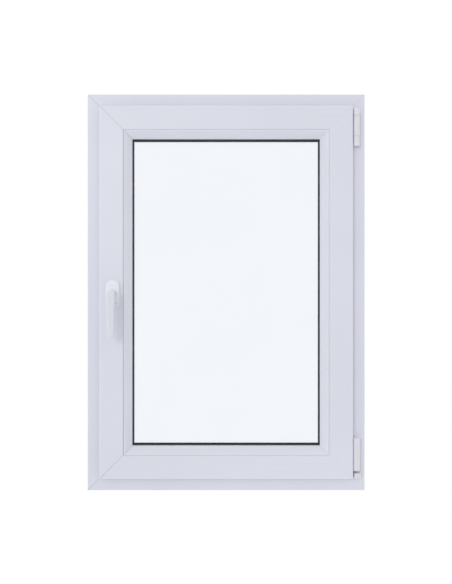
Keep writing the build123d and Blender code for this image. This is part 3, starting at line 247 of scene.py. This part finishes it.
def lacquered_metal(name, colour, gloss=0.28):
    """White stove lacquer on die-cast metal: slight orange peel and a few specks."""
    finish = Finish(
        name, IOR=1.5, Specular_IOR_Level=0.5, Coat_Weight=0.25, Coat_Roughness=0.16
    )
    peel = finish.noise(420.0, 2.0)
    cast = finish.noise(26.0, 3.0)
    specks = finish.spread(finish.cells(260.0), 0.02, 0.07, 1.0, 0.0)
    tone = finish.ramp(cast, (0.3, shade(colour, 0.975)), (0.7, shade(colour, 1.015)))
    tone = finish.blend(finish.sum(specks, 0.2, "MULTIPLY"), tone, shade(colour, 0.8))
    dull = finish.spread(peel, 0.3, 0.7, gloss - 0.04, gloss + 0.06)
    finish.bumps((peel, 0.018), (cast, 0.12))
    return finish.use(Base_Color=tone, Roughness=dull)


def seal_rubber(name, colour, dusty):
    """Extruded rubber with a fine grain, a waxy bloom and a little dust."""
    finish = Finish(name, IOR=1.5, Specular_IOR_Level=0.35)
    grain = finish.noise(1900.0, 2.0)
    bloom = finish.noise(60.0, 4.0, 0.65)
    dust = finish.spread(finish.noise(700.0, 4.0, 0.75), 0.56, 0.72, 0.0, 1.0)
    tone = finish.ramp(bloom, (0.3, shade(colour, 0.8)), (0.7, shade(colour, 1.25)))
    tone = finish.blend(finish.sum(dust, 0.25, "MULTIPLY"), tone, dusty)
    dull = finish.spread(bloom, 0.3, 0.7, 0.48, 0.68)
    finish.bumps((grain, 0.02), (bloom, 0.08))
    return finish.use(Base_Color=tone, Roughness=dull)


def plated_zinc(name, colour, passivated, scale=1.0):
    """Bright zinc plate on steel or die castings: a cloudy sheen, wiping lines and rubbed spots."""
    finish = Finish(name, Metallic=1.0)
    cloud = finish.noise(45.0 * scale, 4.0, 0.6)
    wipe = finish.noise(1.0, 4.0, 0.6, finish.stretched((90.0, 700.0, 90.0)))
    pits = finish.spread(finish.cells(900.0 * scale), 0.04, 0.16, 1.0, 0.0)
    worn = finish.spread(finish.noise(130.0, 5.0, 0.7), 0.58, 0.7, 0.0, 1.0)
    tone = finish.ramp(cloud, (0.28, shade(colour, 0.82)), (0.5, colour), (0.74, passivated))
    tone = finish.blend(finish.sum(worn, 0.35, "MULTIPLY"), tone, shade(colour, 1.12))
    tone = finish.blend(finish.sum(pits, 0.5, "MULTIPLY"), tone, shade(colour, 0.45))
    dull = finish.sum(
        finish.spread(wipe, 0.3, 0.7, 0.26, 0.42), finish.sum(cloud, 0.1, "MULTIPLY")
    )
    finish.bumps((wipe, 0.012), (pits, -0.03), (cloud, 0.05))
    return finish.use(Base_Color=tone, Roughness=dull)


def galvanised_sheet(name):
    """Hot-dipped sheet with its crystals, as on the stiffeners inside the profiles."""
    finish = Finish(name, Metallic=1.0)
    crystal = finish.cells(85.0, output="Color")
    edge = finish.spread(finish.cells(85.0, "DISTANCE_TO_EDGE"), 0.0, 0.05, 1.0, 0.0)
    fine = finish.noise(600.0, 3.0)
    tone = finish.ramp(crystal, (0.2, (0.42, 0.44, 0.46)), (0.8, (0.66, 0.68, 0.70)))
    tone = finish.blend(finish.sum(edge, 0.4, "MULTIPLY"), tone, (0.35, 0.36, 0.38))
    dull = finish.spread(crystal, 0.1, 0.9, 0.3, 0.52)
    dull = finish.sum(dull, finish.sum(fine, 0.08, "MULTIPLY"))
    finish.bumps((edge, -0.02), (fine, 0.01))
    return finish.use(Base_Color=tone, Roughness=dull)


def turned_steel(name):
    """Bright steel pins and cams, with turning lines and the marks of use."""
    finish = Finish(name, Metallic=1.0)
    lines = finish.noise(1.0, 3.0, 0.5, finish.stretched((300.0, 300.0, 2600.0)))
    stain = finish.noise(240.0, 4.0, 0.65)
    grease = finish.spread(finish.noise(150.0, 3.0), 0.52, 0.68, 0.0, 1.0)
    tone = finish.ramp(stain, (0.3, (0.50, 0.50, 0.51)), (0.7, (0.72, 0.72, 0.73)))
    tone = finish.blend(finish.sum(grease, 0.3, "MULTIPLY"), tone, (0.42, 0.38, 0.30))
    dull = finish.spread(lines, 0.3, 0.7, 0.16, 0.3)
    dull = finish.sum(dull, finish.sum(grease, 0.1, "MULTIPLY"))
    finish.bumps((lines, 0.01))
    return finish.use(Base_Color=tone, Roughness=dull)


def float_glass(name):
    """Float glass: nearly clear, a breath of blue, and the gentlest waviness."""
    finish = Finish(name, IOR=1.45, Transmission_Weight=1.0, Roughness=0.0)
    film = finish.noise(4.0, 2.0)
    wave = finish.noise(3.0, 1.0)
    tone = finish.ramp(film, (0.3, (0.945, 0.959, 0.981)), (0.7, (0.953, 0.965, 0.986)))
    finish.bumps((wave, 0.01))
    return finish.use(Base_Color=tone)


def spacer_metal(name):
    """Mill-finish aluminium with the row of pinholes that dries the cavity."""
    finish = Finish(name, Metallic=1.0)
    drawn = finish.noise(900.0, 2.0)
    holes = finish.spread(finish.cells(430.0), 0.10, 0.2, 1.0, 0.0)
    tone = finish.ramp(drawn, (0.3, (0.55, 0.56, 0.57)), (0.7, (0.68, 0.69, 0.70)))
    tone = finish.blend(holes, tone, (0.04, 0.04, 0.04))
    finish.bumps((holes, -0.15), (drawn, 0.01))
    return finish.use(Base_Color=tone, Roughness=finish.spread(drawn, 0.3, 0.7, 0.32, 0.5))


def gunned_sealant(name):
    """Edge sealant, pulled smooth by a blade and a little uneven."""
    finish = Finish(name, IOR=1.5, Specular_IOR_Level=0.3)
    drag = finish.noise(55.0, 4.0, 0.6)
    tone = finish.ramp(drag, (0.3, (0.010, 0.010, 0.011)), (0.7, (0.028, 0.028, 0.030)))
    finish.bumps((drag, 0.5))
    return finish.use(Base_Color=tone, Roughness=finish.spread(drag, 0.3, 0.7, 0.42, 0.6))


WHITE_PROFILE = (0.768, 0.782, 0.868)
# painted light: the beads' white is a lighter copy of the profile's white, brightening their shaded
# slopes
WHITE_BEAD_PAINTED_LIGHT = (0.785, 0.799, 0.880)
WHITE_FITTING = (0.762, 0.762, 0.815)
WHITE_LACQUER = (0.865, 0.878, 0.925)
# painted shade: the lever's lacquer is a darker copy of the handle's white lacquer, the rosette
# keeping the lighter one
WHITE_GRIP_PAINTED_SHADE = (0.750, 0.762, 0.845)

profile = {
    (part, along): extruded_plastic(f"{part}_plastic_{along}", colour, along)
    for part, colour in (("frame", WHITE_PROFILE), ("sash", WHITE_PROFILE), ("bead", WHITE_BEAD_PAINTED_LIGHT))
    for along in ("x", "z")
}
lacquer = lacquered_metal("rosette_lacquer", WHITE_LACQUER)
# painted shade: a darker copy of the rosette's lacquer, for the lever
grip_lacquer_painted_shade = lacquered_metal("grip_lacquer_painted_shade", WHITE_GRIP_PAINTED_SHADE, 0.34)
hinge_lacquer = lacquered_metal("hinge_lacquer", WHITE_FITTING, 0.34)
hinge_cap = moulded_plastic("hinge_cap_plastic", WHITE_FITTING)
bush = moulded_plastic("bush_plastic", (0.62, 0.62, 0.60), 0.42)
packer = moulded_plastic("packer_plastic", (0.06, 0.20, 0.42), 0.5, 0.03)
rubber = seal_rubber("seal_rubber", (0.050, 0.053, 0.058), (0.20, 0.20, 0.20))
zinc = plated_zinc("zinc_plate", (0.60, 0.62, 0.65), (0.62, 0.63, 0.60))
screw_zinc = plated_zinc("screw_zinc", (0.55, 0.57, 0.60), (0.60, 0.60, 0.52), 2.5)
steel = turned_steel("bright_steel")
galvanised = galvanised_sheet("galvanised_sheet")
glass = float_glass("float_glass")
spacer = spacer_metal("spacer_aluminium")
sealant = gunned_sealant("edge_sealant")

SIDES_ALONG = {"sill": "x", "head": "x", "jamb_lock": "z", "jamb_hinge": "z"}
FINISH_OF = {
    "seal_rubber": rubber,
    "edge_sealant": sealant,
    "galvanised_steel": galvanised,
    "white_caps": hinge_cap,
    "white_hinge_metal": hinge_lacquer,
    "zinc_fittings": zinc,
    "zinc_screws": screw_zinc,
    "bright_steel": steel,
    "bush_plastic": bush,
    "packer_plastic": packer,
    "window_glass": glass,
    "spacer_aluminium": spacer,
    "white_handle": lacquer,
}
for node in nodes.values():
    for holder in node.material_slots:
        holder.material = FINISH_OF.get(holder.material.name, holder.material)
for part in ("frame", "sash", "bead"):
    for side, along in SIDES_ALONG.items():
        for holder in nodes[f"{part}_{side}"].material_slots:
            holder.material = profile[part, along]


# ---------------------------------------------------------------- shaping words
def lathe(bm, outline, centre=(0, 0), steps=48):
    """Turns an outline of (radius, height) about an upright axis through a centre, in mm."""
    x, y = centre
    corners = [bm.verts.new(((x + r) * MM, y * MM, z * MM)) for r, z in outline]
    rims = [bm.edges.new(pair) for pair in zip(corners, corners[1:])]
    bmesh.ops.spin(
        bm,
        geom=corners + rims,
        cent=(x * MM, y * MM, 0),
        axis=(0, 0, 1),
        angle=2 * pi,
        steps=steps,
        use_merge=True,
    )
    bmesh.ops.remove_doubles(bm, verts=bm.verts, dist=MERGE)


def round_over(bm, parts, radius, segments, affect="EDGES"):
    """Rounds the given edges, or the corners of a flat outline, to a radius in mm."""
    bmesh.ops.bevel(
        bm,
        geom=parts,
        offset=radius * MM,
        affect=affect,
        segments=segments,
        profile=0.5,
        material=-1,
    )


def topmost(bm):
    """The face that lies highest."""
    return max(bm.faces, key=lambda f: f.calc_center_median().z)


def plate(bm, low, high, thickness, radii, segments=10):
    """A plate with rounded corners, from a rectangle: lower and upper corner radii in mm."""
    made = bmesh.ops.create_grid(bm, x_segments=1, y_segments=1, size=0.5)
    (x0, y0), (x1, y1) = low, high
    for vert in made["verts"]:
        vert.co.x = (x0 if vert.co.x < 0 else x1) * MM
        vert.co.y = (y0 if vert.co.y < 0 else y1) * MM
    halfway = (y0 + y1) / 2 * MM
    for radius, upper in ((radii[0], False), (radii[1], True)):
        corners = [v for v in bm.verts if (v.co.y > halfway) == upper and len(v.link_edges) == 2]
        round_over(bm, corners, radius, segments, "VERTICES")
    bmesh.ops.remove_doubles(bm, verts=bm.verts, dist=MERGE)
    grown = bmesh.ops.extrude_face_region(bm, geom=bm.faces[:], use_keep_orig=True)
    rise = [v for v in grown["geom"] if isinstance(v, bmesh.types.BMVert)]
    bmesh.ops.translate(bm, verts=rise, vec=(0, 0, thickness * MM))
    bmesh.ops.recalc_face_normals(bm, faces=bm.faces)


def crown(bm, face, steps):
    """Raises a face towards its middle in steps of (inset, rise), in mm."""
    for inset, rise in steps:
        bmesh.ops.inset_individual(bm, faces=[face], thickness=inset * MM, depth=rise * MM)


def piece(name, bm, finish, body, stands_for=(), sharp=40.0, place=None):
    """Closes a finished shape, puts it in place and hands it to its CAD body."""
    bmesh.ops.remove_doubles(bm, verts=bm.verts, dist=MERGE)
    if place is not None:
        bmesh.ops.transform(bm, matrix=place, verts=bm.verts)
    bmesh.ops.recalc_face_normals(bm, faces=bm.faces)
    mesh = bpy.data.meshes.new(name)
    bm.to_mesh(mesh)
    bm.free()
    for polygon in mesh.polygons:
        polygon.use_smooth = True
    mesh.set_sharp_from_angle(angle=radians(sharp))
    mesh.materials.append(finish)
    made = bpy.data.objects.new(name, mesh)
    scene.collection.objects.link(made)
    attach(made, body)
    if stands_for:
        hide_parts(*stands_for)
    return made


def middle(node):
    low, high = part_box(node)
    return (low + high) / 2


# ---------------------------------------------------------------- handle
rose_low, rose_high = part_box("rosette_cover")
lever_low, lever_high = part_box("handle_lever")
HANDLE_X = middle("handle_spindle").x / MM
HANDLE_Z = middle("handle_spindle").z / MM
ROSE_BACK = -rose_high.y / MM
ROSE_T = (rose_high.y - rose_low.y) / MM
LEVER_FRONT = -lever_low.y / MM
LEVER_T = 14.0
LEVER_HEEL = (lever_high.z / MM) - HANDLE_Z
LEVER_END = HANDLE_Z - lever_low.z / MM
LEVER_TIP_R = 8.0
LEVER_EDGE_R = 4.0
NECK_R = 9.0
NECK_FOOT = -25.7                # just clear of the rosette
ROSE_FOOT_R, ROSE_EDGE_R = 6.0, 3.2
SLIVER = 0.0005                  # keeps two neighbouring roundings apart until they merge


def towards_room(x, room, z):
    """Places a shape built lying flat so that its top faces the room."""
    return Matrix.Translation((x * MM, -room * MM, z * MM)) @ Matrix.Rotation(pi / 2, 4, "X")


def build_rosette():
    bm = bmesh.new()
    half_w = (rose_high.x - rose_low.x) / MM / 2
    half_h = (rose_high.z - rose_low.z) / MM / 2
    radii = (ROSE_FOOT_R, half_w - 0.2)
    plate(bm, (-half_w, -half_h), (half_w, half_h), ROSE_T, radii, 14)
    front = topmost(bm)
    round_over(bm, front.edges[:], ROSE_EDGE_R, 6)
    front = topmost(bm)
    crown(bm, front, ((1.2, 0.0), (2.5, 0.0)))
    return piece(
        "handle_rosette",
        bm,
        lacquer,
        "sash",
        ("rosette_cover",),
        place=towards_room(HANDLE_X, ROSE_BACK, HANDLE_Z),
    )


def build_lever():
    bm = bmesh.new()
    round_end = LEVER_HEEL - SLIVER
    low, high = (-LEVER_HEEL, -LEVER_END), (LEVER_HEEL, LEVER_HEEL)
    plate(bm, low, high, LEVER_T, (round_end, round_end), 14)
    narrow = LEVER_TIP_R / LEVER_HEEL
    for vert in bm.verts:
        share = min(max(-vert.co.y / (LEVER_END * MM), 0.0), 1.0)
        vert.co.x *= 1 - (1 - narrow) * share
        above_tip = vert.co.y + LEVER_END * MM
        if above_tip < LEVER_HEEL * MM:
            vert.co.y += above_tip * (narrow - 1)
    front = topmost(bm)
    back = min(bm.faces, key=lambda f: f.calc_center_median().z)
    round_over(bm, front.edges[:] + back.edges[:], LEVER_EDGE_R, 7)
    front = topmost(bm)
    crown(bm, front, ((0.8, 0.0), (1.0, 0.0)))
    lathe(
        bm,
        (
            (0.0, NECK_FOOT),
            (NECK_R, NECK_FOOT),
            (NECK_R, -6.0),
            (NECK_R + 0.4, -3.0),
            (NECK_R + 1.0, -0.6),
            (NECK_R + 0.9, 1.0),
            (0.0, 1.0),
        ),
    )
    return piece(
        "handle_grip",
        bm,
        grip_lacquer_painted_shade,
        "handle",
        ("handle_lever",),
        place=towards_room(HANDLE_X, LEVER_FRONT - LEVER_T, HANDLE_Z),
    )


build_rosette()
build_lever()


# ---------------------------------------------------------------- hinge covers
COVER_R, COVER_BORE = 8.0, 5.7
SLEEVE_R, SLEEVE_BORE = 8.9, 6.6
COVER_STEPS = 64


def tube(bm, bore, outline, centre):
    """A turned cover with a plain bore; the outline is its outside, from the bottom up."""
    low, high = outline[0][1], outline[-1][1]
    ring = [(bore, low), *outline, (bore, high), (bore, low)]
    lathe(bm, ring, centre, COVER_STEPS)


def rounded_end(radius, height, rounding, way, steps=5):
    """Points round the end edge of a turned piece; way is 1 for its top and -1 for its foot."""
    points = [
        (
            radius - rounding * (1 - sin(a)),
            height - way * rounding * (1 - cos(a)),
        )
        for a in [pi / 2 * i / steps for i in range(steps + 1)]
    ]
    return points[::-1] if way > 0 else points


def build_hinge_covers():
    hinge = (middle("stay_hinge_pin").x / MM, middle("stay_hinge_pin").y / MM)

    low, high = (c.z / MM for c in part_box("stay_hinge_sleeve"))
    bm = bmesh.new()
    shoulder, widest = COVER_R + 0.12, COVER_R + 0.22
    belly = [(shoulder, low + 6), (widest, (low + high) / 2), (shoulder, high - 6)]
    foot, head = rounded_end(COVER_R, low, 0.7, -1), rounded_end(COVER_R, high, 0.7, 1)
    tube(bm, COVER_BORE, foot + belly + head, hinge)
    piece(
        "upper_hinge_sleeve", bm, hinge_cap, "stay", ("stay_hinge_sleeve",), 30
    )

    cap_low, cap_high = (c.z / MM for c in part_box("stay_hinge_caps"))
    pin_low, pin_high = (c.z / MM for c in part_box("stay_bearing"))
    bm = bmesh.new()
    lathe(
        bm,
        [
            (0, pin_high),
            (COVER_R, pin_high),
            *rounded_end(COVER_R, cap_high, 1.3, 1),
            (0, cap_high),
        ],
        hinge,
        COVER_STEPS,
    )
    lathe(
        bm,
        [
            (0, cap_low),
            (3.0, cap_low),
            *rounded_end(COVER_R, cap_low, 2.0, -1),
            (COVER_R, pin_low),
            (0, pin_low),
        ],
        hinge,
        COVER_STEPS,
    )
    piece("upper_hinge_caps", bm, hinge_cap, "frame", ("stay_hinge_caps",), 30)

    low, high = (c.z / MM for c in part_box("sash_hinge_sleeve"))
    bm = bmesh.new()
    groove_r = SLEEVE_R - 0.35
    outline = [
        *rounded_end(SLEEVE_R, low, 0.8, -1),
        (SLEEVE_R, high - 5.2),
        (groove_r, high - 4.9),
        (groove_r, high - 4.3),
        (SLEEVE_R, high - 4.0),
        *rounded_end(SLEEVE_R, high, 1.5, 1),
        (7.6, high),
        (7.0, high - 0.5),
    ]
    inside = [(SLEEVE_BORE, high - 3.0), (SLEEVE_BORE, low)]
    closed = [(0, high - 0.5), (0, high - 3.0), *inside]
    lathe(bm, [(SLEEVE_BORE, low), *outline, *closed], hinge, COVER_STEPS)
    piece(
        "lower_hinge_sleeve", bm, hinge_cap, "sash", ("sash_hinge_sleeve",), 30
    )


# ---------------------------------------------------------------- screws
def solids_of(node):
    """The corners of each separate solid of a CAD node."""
    bm = bmesh.new()
    bm.from_mesh(nodes[node].data)
    bmesh.ops.remove_doubles(bm, verts=bm.verts, dist=1e-6)
    left, found = set(bm.verts), []
    for start in bm.verts:
        if start not in left:
            continue
        left.discard(start)
        reached, corners = [start], []
        while reached:
            vert = reached.pop()
            corners.append(vert.co.copy())
            for edge in vert.link_edges:
                other = edge.other_vert(vert)
                if other in left:
                    left.discard(other)
                    reached.append(other)
        found.append(corners)
    bm.free()
    return found


def screw_shape(bm, head_r, head_t, shank_r, length):
    """A cross-recessed pan head on its shank, standing on the origin."""
    recess = (0.0, head_t), (head_r * 0.14, head_t), (head_r * 0.58, head_t - 0.06)
    lathe(
        bm,
        [
            *recess,
            (head_r * 0.80, head_t - 0.24),
            (head_r * 0.94, head_t - 0.62),
            (head_r, head_t - 1.15),
            (head_r * 0.98, 0.0),
            (shank_r, 0.0),
            (shank_r, 2.0 - length),
            (0.0, -length),
        ],
        steps=16,
    )
    arms = []
    for face in bm.faces:
        spot = face.calc_center_median()
        reach = Vector((spot.x, spot.y)).length
        turn = (Vector((spot.x, spot.y)).angle_signed(Vector((1, 0)), 0.0) / pi * 180 - 11.25) % 90
        on_arm = min(turn, 90 - turn) < 6 or reach < head_r * 0.12 * MM
        if spot.z > (head_t - 0.1) * MM and reach < head_r * 0.5 * MM and on_arm:
            arms.append(face)
    grown = bmesh.ops.extrude_face_region(bm, geom=arms)
    sunk = [v for v in grown["geom"] if isinstance(v, bmesh.types.BMVert)]
    bmesh.ops.translate(bm, verts=sunk, vec=(0, 0, -1.3 * MM))
    bmesh.ops.scale(bm, verts=sunk, vec=(0.62, 0.62, 1.0))
    bmesh.ops.delete(bm, geom=[f for f in arms if f.is_valid], context="FACES_ONLY")


def radius_at(corners, centre, along, end):
    """The radius of a turned solid at one of its ends; along is the number of its axis."""
    radii = []
    for corner in corners:
        if abs(corner[along] - end) < 0.1 * MM:
            out = corner - centre
            out[along] = 0.0
            radii.append(out.length)
    return max(radii)


def build_screws(name, node, body, head_t=2.0):
    """One cross-recessed screw in the place of each of a CAD node's screws."""
    whole = bmesh.new()
    for count, corners in enumerate(solids_of(node)):
        low = Vector([min(c[i] for c in corners) for i in range(3)])
        high = Vector([max(c[i] for c in corners) for i in range(3)])
        size = high - low
        along = max(range(3), key=lambda i: size[i])
        centre = (low + high) / 2
        at_high, at_low = (
            radius_at(corners, centre, along, end[along]) / MM for end in (high, low)
        )
        way = 1 if at_high > at_low else -1
        head_r, shank_r = max(at_high, at_low), min(at_high, at_low)
        outward = Vector([way * (i == along) for i in range(3)])
        top = high[along] if way > 0 else low[along]
        seat = centre.copy()
        seat[along] = top - way * head_t * MM
        bm = bmesh.new()
        screw_shape(bm, head_r, head_t, shank_r, size[along] / MM - head_t)
        turn = Matrix.Rotation(radians(37 * count), 4, "Z")
        lean = outward.to_track_quat("Z", "Y").to_matrix().to_4x4()
        bmesh.ops.transform(bm, matrix=Matrix.Translation(seat) @ lean @ turn, verts=bm.verts)
        step = bpy.data.meshes.new("screw")
        bm.to_mesh(step)
        bm.free()
        whole.from_mesh(step)
        bpy.data.meshes.remove(step)
    piece(name, whole, screw_zinc, body, (node,), 35)


# ---------------------------------------------------------------- drain caps
def build_drain_caps():
    """The hoods over the drain slots, on the outside of the frame's sill."""
    whole = bmesh.new()
    for corners in solids_of("drain_caps"):
        low = Vector([min(c[i] for c in corners) for i in range(3)])
        high = Vector([max(c[i] for c in corners) for i in range(3)])
        half_l, half_h = (high.x - low.x) / MM / 2, (high.z - low.z) / MM / 2
        rise = (high.y - low.y) / MM
        bm = bmesh.new()
        plate(bm, (-half_l, -half_h), (half_l, half_h), rise, (3.0, 3.0), 8)
        front = topmost(bm)
        round_over(bm, front.edges[:], 1.5, 4)
        front = topmost(bm)
        crown(bm, front, ((1.0, 0.0), (1.1, -0.35), (0.5, 0.0)))
        mouth = min(bm.faces, key=lambda f: (f.calc_center_median().y, -f.calc_area()))
        crown(bm, mouth, ((0.6, 0.0), (0.1, -3.0)))
        upright = Matrix.Rotation(-pi / 2, 4, "X") @ Matrix.Rotation(pi, 4, "Z")
        where = Vector(((low.x + high.x) / 2, low.y, (low.z + high.z) / 2))
        bmesh.ops.transform(bm, matrix=Matrix.Translation(where) @ upright, verts=bm.verts)
        step = bpy.data.meshes.new("hood")
        bm.to_mesh(step)
        bm.free()
        whole.from_mesh(step)
        bpy.data.meshes.remove(step)
    piece("drain_hoods", whole, hinge_cap, "frame", ("drain_caps",), 35)


build_hinge_covers()
build_screws("frame_screw_heads", "frame_screws", "frame")
build_screws("faceplate_screw_heads", "faceplate_screws", "sash")
build_screws("hinge_screw_heads", "sash_hinge_screws", "sash")
build_screws("handle_screw_heads", "handle_screws", "sash")
build_drain_caps()


# ---------------------------------------------------------------- room
LIGHT_BELOW, LIGHT_ABOVE = 0.90, 0.86
SHARE_AHEAD, SHARE_AT_SIDES = 0.56, 1.42
KEY_STRENGTH, KEY_SPREAD = 0.52, 18.0
KEY_LEFT, KEY_UP = 21.0, 15.0
SWEEP_HALF, SWEEP_BACK, SWEEP_R, SWEEP_RISE = 9.0, 3.4, 0.8, 6.0
FLOOR_Z = -0.0005
LENS, SENSOR = 51.23, 36.0
CAMERA_PLACE = (-0.0003, -2.135, 0.5009)


def build_studio():
    """A pale floor that sweeps up into a backdrop."""
    bm = bmesh.new()
    foot = bm.verts.new((-SWEEP_HALF, -SWEEP_HALF, FLOOR_Z))
    turn = bm.verts.new((-SWEEP_HALF, SWEEP_BACK, FLOOR_Z))
    bm.edges.new((foot, turn))
    swept = bmesh.ops.spin(
        bm,
        geom=[turn],
        cent=(-SWEEP_HALF, SWEEP_BACK, SWEEP_R),
        axis=(1, 0, 0),
        angle=pi / 2,
        steps=16,
    )
    top = swept["geom_last"][0]
    bm.edges.new((top, bm.verts.new(top.co + Vector((0, 0, SWEEP_RISE)))))
    grown = bmesh.ops.extrude_edge_only(bm, edges=bm.edges[:])
    far = [v for v in grown["geom"] if isinstance(v, bmesh.types.BMVert)]
    bmesh.ops.translate(bm, verts=far, vec=(2 * SWEEP_HALF, 0, 0))
    mesh = bpy.data.meshes.new("studio_sweep")
    bm.to_mesh(mesh)
    bm.free()
    for polygon in mesh.polygons:
        polygon.use_smooth = True
    sweep = bpy.data.objects.new("studio_sweep", mesh)
    scene.collection.objects.link(sweep)
    paper = bpy.data.materials.new("studio_paper")
    paper.use_nodes = True
    shader = next(n for n in paper.node_tree.nodes if n.type == "BSDF_PRINCIPLED")
    shader.inputs["Base Color"].default_value = (0.02, 0.02, 0.02, 1)
    shader.inputs["Specular IOR Level"].default_value = 0.0
    shader.inputs["Emission Color"].default_value = (1, 1, 1, 1)
    shader.inputs["Emission Strength"].default_value = 0.99
    mesh.materials.append(paper)
    sweep.visible_diffuse = False
    sweep.visible_glossy = False


def build_daylight():
    """Soft light, stronger from the sides than from ahead or behind, in a plain white surround."""
    world = bpy.data.worlds.new("white_room")
    scene.world = world
    world.use_nodes = True
    tree = world.node_tree
    tree.nodes.clear()
    out = tree.nodes.new("ShaderNodeOutputWorld")
    mix = tree.nodes.new("ShaderNodeMixShader")
    lit = tree.nodes.new("ShaderNodeBackground")
    seen = tree.nodes.new("ShaderNodeBackground")
    path = tree.nodes.new("ShaderNodeLightPath")
    either = tree.nodes.new("ShaderNodeMath")
    either.operation = "MAXIMUM"
    where = tree.nodes.new("ShaderNodeTexCoord")
    split = tree.nodes.new("ShaderNodeSeparateXYZ")
    height = tree.nodes.new("ShaderNodeMapRange")
    height.inputs["From Min"].default_value = -0.6
    height.inputs["From Max"].default_value = 0.8
    height.inputs["To Min"].default_value = LIGHT_BELOW
    height.inputs["To Max"].default_value = LIGHT_ABOVE
    depth = tree.nodes.new("ShaderNodeMapRange")
    depth.inputs["From Min"].default_value = 0.0
    depth.inputs["From Max"].default_value = 1.0
    depth.inputs["To Min"].default_value = SHARE_AT_SIDES
    depth.inputs["To Max"].default_value = SHARE_AHEAD
    aside = tree.nodes.new("ShaderNodeMath")
    aside.operation = "ABSOLUTE"
    both = tree.nodes.new("ShaderNodeMath")
    both.operation = "MULTIPLY"
    lit.inputs["Color"].default_value = (0.985, 0.99, 1.0, 1)
    seen.inputs["Color"].default_value = (1, 1, 1, 1)
    seen.inputs["Strength"].default_value = 1.0
    link = tree.links.new
    link(where.outputs["Generated"], split.inputs["Vector"])
    link(split.outputs["Z"], height.inputs["Value"])
    link(split.outputs["Y"], aside.inputs[0])
    link(aside.outputs[0], depth.inputs["Value"])
    link(height.outputs["Result"], both.inputs[0])
    link(depth.outputs["Result"], both.inputs[1])
    link(both.outputs[0], lit.inputs["Strength"])
    link(path.outputs["Is Camera Ray"], either.inputs[0])
    link(path.outputs["Is Transmission Ray"], either.inputs[1])
    link(either.outputs[0], mix.inputs["Fac"])
    link(lit.outputs["Background"], mix.inputs[1])
    link(seen.outputs["Background"], mix.inputs[2])
    link(mix.outputs["Shader"], out.inputs["Surface"])


def build_key():
    """One soft light from far to the left of the camera and a little above it."""
    lamp = bpy.data.lights.new("key_light", "SUN")
    lamp.energy = KEY_STRENGTH
    lamp.angle = radians(KEY_SPREAD)
    lamp.color = (1.0, 0.995, 0.985)
    key = bpy.data.objects.new("key_light", lamp)
    scene.collection.objects.link(key)
    key.visible_transmission = False
    left, up = radians(KEY_LEFT), radians(KEY_UP)
    away = Vector((-sin(left) * cos(up), -cos(left) * cos(up), sin(up)))
    key.location = Vector((0, 0, 0.5)) + away * 4.0
    key.rotation_euler = (-away).to_track_quat("-Z", "Y").to_euler()


def build_soft_box(name, strength, width, location, target):
    """A weak soft box that lifts one part of the window and isn't mirrored in the glass."""
    lamp = bpy.data.lights.new(name, "AREA")
    lamp.shape = "RECTANGLE"
    lamp.energy = strength
    lamp.size, lamp.size_y = width, 0.4
    box = bpy.data.objects.new(name, lamp)
    scene.collection.objects.link(box)
    box.visible_transmission = box.visible_glossy = False
    box.location = location
    aim = Vector(target) - box.location
    box.rotation_euler = aim.to_track_quat("-Z", "Y").to_euler()


def build_camera():
    lens = bpy.data.cameras.new("camera")
    lens.lens, lens.sensor_width = LENS, SENSOR
    camera = bpy.data.objects.new("camera", lens)
    scene.collection.objects.link(camera)
    camera.location = CAMERA_PLACE
    camera.rotation_euler = (pi / 2, 0, 0)
    scene.camera = camera


build_studio()
build_daylight()
build_key()
build_soft_box("fill_light", 0.34, 1.2, (-0.05, -0.9, 0.72), (0.0, 0.0, 0.70))
build_soft_box("floor_bounce", 0.15, 0.6, (0.08, -0.55, -0.22), (0.0, 0.0, 0.05))
build_camera()
scene.view_settings.view_transform = "Standard"
